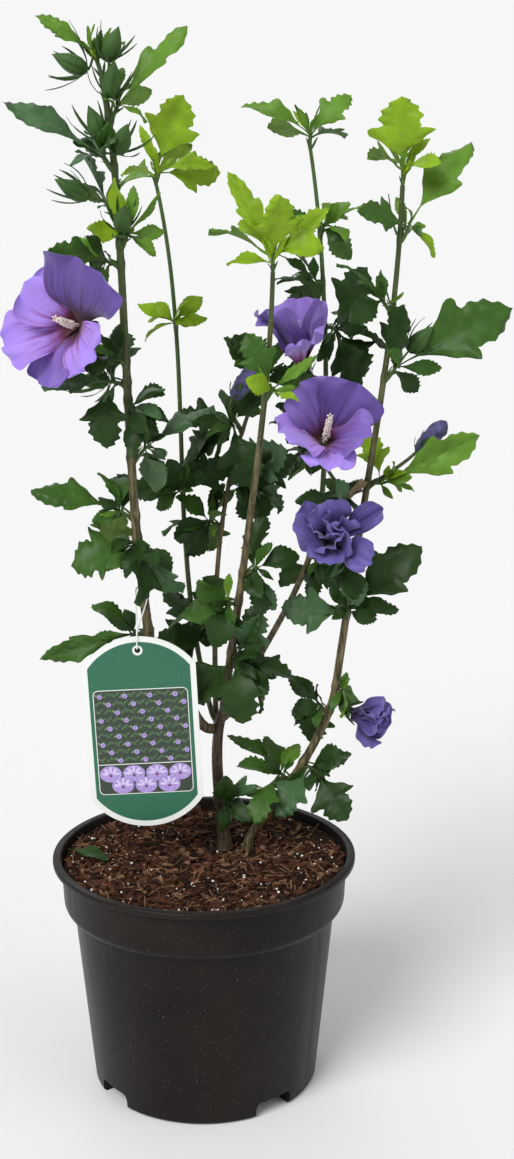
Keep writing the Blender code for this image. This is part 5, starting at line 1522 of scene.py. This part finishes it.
TONE_COLOURS = {
    "lime": ((0.200, 0.345, 0.012), (0.250, 0.390, 0.050), (0.330, 0.460, 0.080)),
    "fresh": ((0.100, 0.215, 0.020), (0.140, 0.250, 0.050), (0.190, 0.320, 0.070)),
    "mid": ((0.038, 0.098, 0.013), (0.082, 0.155, 0.042), (0.112, 0.200, 0.050)),
    "deep": ((0.017, 0.046, 0.008), (0.040, 0.084, 0.023), (0.052, 0.107, 0.028)),
    "grey": ((0.055, 0.118, 0.048), (0.105, 0.180, 0.090), (0.130, 0.210, 0.100)),
}
stands_for = {tone: [] for tone in TONES}
for mass in MASSES:
    if not mass.bloom or mass.bloom.kind == "rolled":
        stands_for[mass.tone].append(mass.name)
for tone in TONES:
    upper, lower, rib_colour = TONE_COLOURS[tone]
    upper_side = leaf_material(tone + "_upper", upper, 0.40, 0.18)
    lower_side = leaf_material(tone + "_lower", lower, 0.62, 0.15)
    add_joined(tone + "_leaves", leaves[tone], [upper_side, lower_side], stands_for[tone], 60.0)
    add_joined(tone + "_leaf_ribs", ribs[tone], [leaf_material(tone + "_rib", rib_colour, 0.55)])

calyx_green = leaf_material("calyx_green", (0.050, 0.110, 0.028), 0.5)
bract_green = leaf_material("bract_green", (0.042, 0.098, 0.024), 0.5)
dry_straw = leaf_material("dry_straw", (0.330, 0.250, 0.140), 0.8)
add_joined("twigs", twigs, [BARKS["green"]])
add_joined("buds_and_calyces", buds, [calyx_green])
add_joined("bracts_and_sepals", bracts, [bract_green])
add_joined("dried_bract", dried, [dry_straw])
cream = mottled("anther_cream", (0.83, 0.72, 0.62), 0.7, (0.78, 0.66, 0.58), (0.90, 0.82, 0.72),
                dict(Scale=800.0), Sheen_Weight=0.2)
add_joined("staminal_columns", columns, [cream])


# The plant label: a thin white plastic plate with round ends and a hole, printed with a plain panel,
# a pattern of small leaves and round flowers, and a band of scallops. The design is a generic one.
LABEL_CENTRE = Vector((-0.0442, -0.0160, 0.2807))
LABEL_TILT = 2.8
LABEL_WIDTH = 0.084
LABEL_SIDE = 0.103
LABEL_RISE = 0.022
LABEL_THICKNESS = 0.0008
LABEL_HOLE_RADIUS = 0.0022
LABEL_HOLE_DROP = 0.0105
EYELET_WIDTH = 0.0016
PRINT_STEP = 0.00006


def label_outline(inset=0.0):
    """Points round the label, inset from its edge: straight sides between two arcs."""
    half = LABEL_WIDTH / 2
    radius = (half * half + LABEL_RISE * LABEL_RISE) / (2 * LABEL_RISE)
    middle = LABEL_SIDE / 2 + LABEL_RISE - radius
    edge = half - inset
    sweep = math.degrees(math.asin(edge / (radius - inset)))
    top = arc((0.0, middle), radius - inset, 90 + sweep, 90 - sweep, 40)
    bottom = arc((0.0, -middle), radius - inset, sweep - 90, -90 - sweep, 40)
    return top + bottom


def on_label(points, forward):
    """Places on the label's face, forward of its middle, as world points."""
    tilt = math.radians(LABEL_TILT)
    found = []
    for across, up in points:
        x = across * math.cos(tilt) - up * math.sin(tilt)
        z = across * math.sin(tilt) + up * math.cos(tilt)
        found.append(LABEL_CENTRE + Vector((x, -forward, z)))
    return found


def plate(shape, outline, back, front, hole=None):
    """A flat plate on the label from an outline: a filled curve's face, pushed forward into a thin body."""
    verts = [shape.verts.new(p) for p in on_label(outline, back)]
    edges = [shape.edges.new(pair) for pair in zip(verts, verts[1:] + verts[:1])]
    if hole:
        inner = [shape.verts.new(p) for p in on_label(hole, back)]
        edges += [shape.edges.new(pair) for pair in zip(inner, inner[1:] + inner[:1])]
    faces = [g for g in bmesh.ops.triangle_fill(shape, use_beauty=True, edges=edges)["geom"]
             if isinstance(g, bmesh.types.BMFace)]
    grown = bmesh.ops.extrude_face_region(shape, geom=faces, use_keep_orig=True)["geom"]
    bmesh.ops.translate(shape, vec=Vector((0.0, back - front, 0.0)),
                        verts=[g for g in grown if isinstance(g, bmesh.types.BMVert)])


def printed(name, outlines, layer, ink, hole=None):
    """One colour of the print: flat shapes that stand a few hundredths of a millimetre proud."""
    shape = bmesh.new()
    back = LABEL_THICKNESS / 2 + PRINT_STEP * (layer - 1) - PRINT_STEP / 2
    for outline in outlines:
        plate(shape, outline, back, LABEL_THICKNESS / 2 + PRINT_STEP * layer, hole)
    add_piece(name, mesh_from(shape, name), [ink])


def print_material(name, colour, spread):
    """Ink or card under a thin clear coat, in fine blotches that stray from the colour by a spread."""
    return mottled(name, colour, 0.35, toned(colour, 1 - spread), toned(colour, 1 + spread),
                   dict(Scale=600.0, Detail=2.0, Low=0.35, High=0.65), Coat_Weight=0.25, Coat_Roughness=0.15)


def ellipse(centre, wide, tall, turn=0.0, steps=20):
    """Points round an ellipse that is turned about its centre."""
    found = []
    for k in range(steps):
        a = math.tau * k / steps
        x, y = wide * math.cos(a), tall * math.sin(a)
        found.append((centre[0] + x * math.cos(turn) - y * math.sin(turn),
                      centre[1] + x * math.sin(turn) + y * math.cos(turn)))
    return found


def rounded_box(left, low, right, high, radius, steps=6):
    """Points round a box with rounded corners."""
    return [*arc((right - radius, high - radius), radius, 0, 90, steps),
            *arc((left + radius, high - radius), radius, 90, 180, steps),
            *arc((left + radius, low + radius), radius, 180, 270, steps),
            *arc((right - radius, low + radius), radius, 270, 360, steps)]


hole_height = LABEL_SIDE / 2 + LABEL_RISE - LABEL_HOLE_DROP
hole = arc((0.0, hole_height), LABEL_HOLE_RADIUS, 0, 345, 23)
eyelet = arc((0.0, hole_height), LABEL_HOLE_RADIUS + EYELET_WIDTH, 0, 345, 23)
card = bmesh.new()
plate(card, label_outline(), -LABEL_THICKNESS / 2, LABEL_THICKNESS / 2, hole)
white = print_material("label_white", (0.80, 0.82, 0.80), 0.02)
add_piece("label_card", mesh_from(card, "label_card"), [white], ["label"])

FIELD = (-0.0345, -0.0470, 0.0345, 0.0330)
KEYLINE = 0.0006
WHITE_EDGE = 0.0042
keyline_box = (FIELD[0] - KEYLINE, FIELD[1] - KEYLINE, FIELD[2] + KEYLINE, FIELD[3] + KEYLINE)
INKS = {
    "green": ((0.012, 0.130, 0.062), 0.12),
    "dark_leaf": ((0.022, 0.040, 0.024), 0.4),
    "leaf": ((0.060, 0.125, 0.050), 0.3),
    "pale_leaf": ((0.150, 0.230, 0.110), 0.3),
    "lilac": ((0.400, 0.290, 0.650), 0.2),
    "pale_lilac": ((0.640, 0.560, 0.830), 0.15),
    "plum": ((0.180, 0.030, 0.150), 0.2),
}
inks = {title: print_material("ink_" + title, *look) for title, look in INKS.items()}
printed("print_green_frame", [label_outline(WHITE_EDGE)], 1, inks["green"], hole=eyelet)
printed("print_keyline", [rounded_box(*keyline_box, 0.004)], 2, white)
printed("print_field", [rounded_box(*FIELD, 0.0035)], 3, inks["dark_leaf"])

# The printed pattern: rows of small leaves in pairs, with round flowers in every other gap
PATTERN_ROWS = 9
tile = 0.0062
leaf_shapes, pale_leaf_shapes, flower_shapes, flower_eyes = [], [], [], []
for row in range(PATTERN_ROWS):
    for column in range(int((FIELD[2] - FIELD[0]) / tile)):
        x = FIELD[0] + tile * (column + 0.55)
        y = FIELD[3] - tile * (row + 0.60)
        lean = math.radians(38 if (row + column) % 2 else -38)
        target = pale_leaf_shapes if (row * 2 + column) % 3 == 0 else leaf_shapes
        target.append(ellipse((x - tile * 0.20, y), 0.0024, 0.0009, lean, 10))
        leaf_shapes.append(ellipse((x + tile * 0.22, y + tile * 0.20), 0.0022, 0.0008, -lean, 10))
        if (row + 2 * column) % 3 == 0:
            flower_shapes.append(ellipse((x + tile * 0.15, y - tile * 0.10), 0.0019, 0.0018, 0.0, 12))
            flower_eyes.append(ellipse((x + tile * 0.15, y - tile * 0.10), 0.00055, 0.00055, 0.0, 8))
printed("print_leaves", leaf_shapes, 4, inks["leaf"])
printed("print_pale_leaves", pale_leaf_shapes, 4, inks["pale_leaf"])
printed("print_flowers", flower_shapes, 5, inks["lilac"])
printed("print_flower_eyes", flower_eyes, 6, inks["plum"])

# The band of scallops under the pattern
BAND_TOP = -0.0240
band, band_pale, band_eyes = [], [], []
for row in range(2):
    for k in range(4 - row):
        x = FIELD[0] + (FIELD[2] - FIELD[0]) * (k + 0.5 + 0.5 * row) / 4
        y = -0.0315 - 0.0092 * row
        band.append(ellipse((x, y), 0.0082, 0.0064, 0.0, 24))
        for a in (-1.5, -0.75, 0.0, 0.75, 1.5):
            ray = (x + 0.0044 * math.sin(a), y + 0.0034 * math.cos(a))
            band_pale.append(ellipse(ray, 0.0026, 0.0010, math.pi / 2 - a, 10))
        band_eyes.append(ellipse((x, y - 0.0012), 0.0011, 0.0011, 0.0, 10))
band_line = rounded_box(FIELD[0], BAND_TOP - KEYLINE / 2, FIELD[2], BAND_TOP + KEYLINE / 2, 0.0002, 2)
printed("print_band_line", [band_line], 6, white)
printed("print_scallops", band[:4], 4, inks["lilac"])
printed("print_scallops_low", band[4:], 5, inks["lilac"])
printed("print_scallop_rays", band_pale, 6, inks["pale_lilac"])
printed("print_scallop_eyes", band_eyes, 7, inks["plum"])


# The loop: a thin white plastic tie that goes through the label's hole and round the left stem.
LOOP_RADIUS = 0.0005
LOOP_HEIGHT = 0.388
LOOP_POINTS = 90


def loop_line():
    """The tie's closed centre line: a smooth curve through the hole and round the stem."""
    stem, _, radius = paths["left_stem_high"].at_height(LOOP_HEIGHT)
    seat = hole_height + LABEL_HOLE_RADIUS - LOOP_RADIUS - GAP
    half = LABEL_THICKNESS / 2
    wide = radius + LOOP_RADIUS + 2 * GAP
    turns = [
        *on_label([(0.0, seat)], 0.0),
        *on_label([(0.0, seat + 0.001)], half + 0.0014),
        *on_label([(0.0005, hole_height + 0.012)], half + 0.0012),
        Vector((stem.x - wide, stem.y - wide, LOOP_HEIGHT - 0.006)),
        Vector((stem.x - wide, stem.y, LOOP_HEIGHT)),
        Vector((stem.x, stem.y + wide, LOOP_HEIGHT + 0.001)),
        Vector((stem.x + wide, stem.y, LOOP_HEIGHT)),
        Vector((stem.x + wide * 0.7, stem.y - wide, LOOP_HEIGHT - 0.008)),
        *on_label([(0.001, hole_height + 0.014)], -half - 0.0014),
        *on_label([(0.0, seat + 0.001)], -half - 0.0014),
    ]
    found = []
    for k in range(LOOP_POINTS):
        share = k * len(turns) / LOOP_POINTS
        first = int(share)
        a, b, c, d = (turns[(first + j) % len(turns)] for j in (-1, 0, 1, 2))
        t = share - first
        found.append(0.5 * (2 * b + (c - a) * t + (2 * a - 5 * b + 4 * c - d) * t * t
                            + (3 * b - a - 3 * c + d) * t**3))
    return found


line = loop_line()
tie = Joined()
tie.add(*rod([*line, line[0]], [LOOP_RADIUS] * (LOOP_POINTS + 1), 8))
tie_white = mottled("tie_white", (0.85, 0.86, 0.86), 0.4, (0.78, 0.79, 0.79), (0.88, 0.89, 0.89),
                    dict(Scale=300.0))
add_joined("label_tie", tie, [tie_white], ["label_loop"])


# The stage: a plain pale floor, soft studio light and the camera at the photograph's viewing angle.
floor_shape = bmesh.new()
bmesh.ops.create_circle(floor_shape, cap_ends=True, segments=64, radius=60.0)
floor = bpy.data.objects.new("floor", mesh_from(floor_shape, "floor"))
bpy.context.scene.collection.objects.link(floor)
floor.data.materials.append(new_material("floor_pale", (0.83, 0.83, 0.83), 0.9, Specular_IOR_Level=0.0))

world = bpy.data.worlds.new("studio")
bpy.context.scene.world = world
world.use_nodes = True
sky = world.node_tree.nodes["Background"]
sky.inputs["Color"].default_value = (1.0, 1.0, 1.0, 1.0)
# The sky lights the plant softly, and is seen as bright as the lit floor, so that no horizon shows
SKY_LIGHT = 0.45
SKY_SEEN = 0.93
seen = world.node_tree.nodes.new("ShaderNodeLightPath")
glow = world.node_tree.nodes.new("ShaderNodeMapRange")
glow.inputs["To Min"].default_value = SKY_LIGHT
glow.inputs["To Max"].default_value = SKY_SEEN
world.node_tree.links.new(seen.outputs["Is Camera Ray"], glow.inputs["Value"])
world.node_tree.links.new(glow.outputs["Result"], sky.inputs["Strength"])
bpy.context.scene.view_settings.view_transform = "Standard"

# Broad suns, which light the whole floor alike: name, elevation, turn from the viewer's side toward
# the left, softness in degrees and strength
LIGHTS = [
    ("key", 42.0, 34.0, 32.0, 2.40),
    ("fill", 30.0, -62.0, 50.0, 0.50),
    ("back", 40.0, 165.0, 40.0, 0.40),
]
for title, elevation, turn, softness, strength in LIGHTS:
    light = bpy.data.lights.new(title, "SUN")
    light.angle = math.radians(softness)
    light.energy = strength
    lamp = bpy.data.objects.new(title, light)
    bpy.context.scene.collection.objects.link(lamp)
    e, a = math.radians(elevation), math.radians(turn)
    toward = Vector((-math.sin(a) * math.cos(e), -math.cos(a) * math.cos(e), math.sin(e)))
    lamp.rotation_euler = (-toward).to_track_quat("-Z", "Y").to_euler()

CAMERA_PLACE = (0.0402, -1.1216, 0.6504)
CAMERA_PITCH = 0.2256
FOCAL_PIXELS = 1568.1
PHOTO_HEIGHT = 1159
lens = bpy.data.cameras.new("camera")
lens.sensor_fit = "AUTO"
lens.sensor_width = 36.0
lens.lens = FOCAL_PIXELS * lens.sensor_width / PHOTO_HEIGHT
camera = bpy.data.objects.new("camera", lens)
bpy.context.scene.collection.objects.link(camera)
camera.location = CAMERA_PLACE
camera.rotation_euler = (math.pi / 2 - CAMERA_PITCH, 0.0, 0.0)
bpy.context.scene.camera = camera
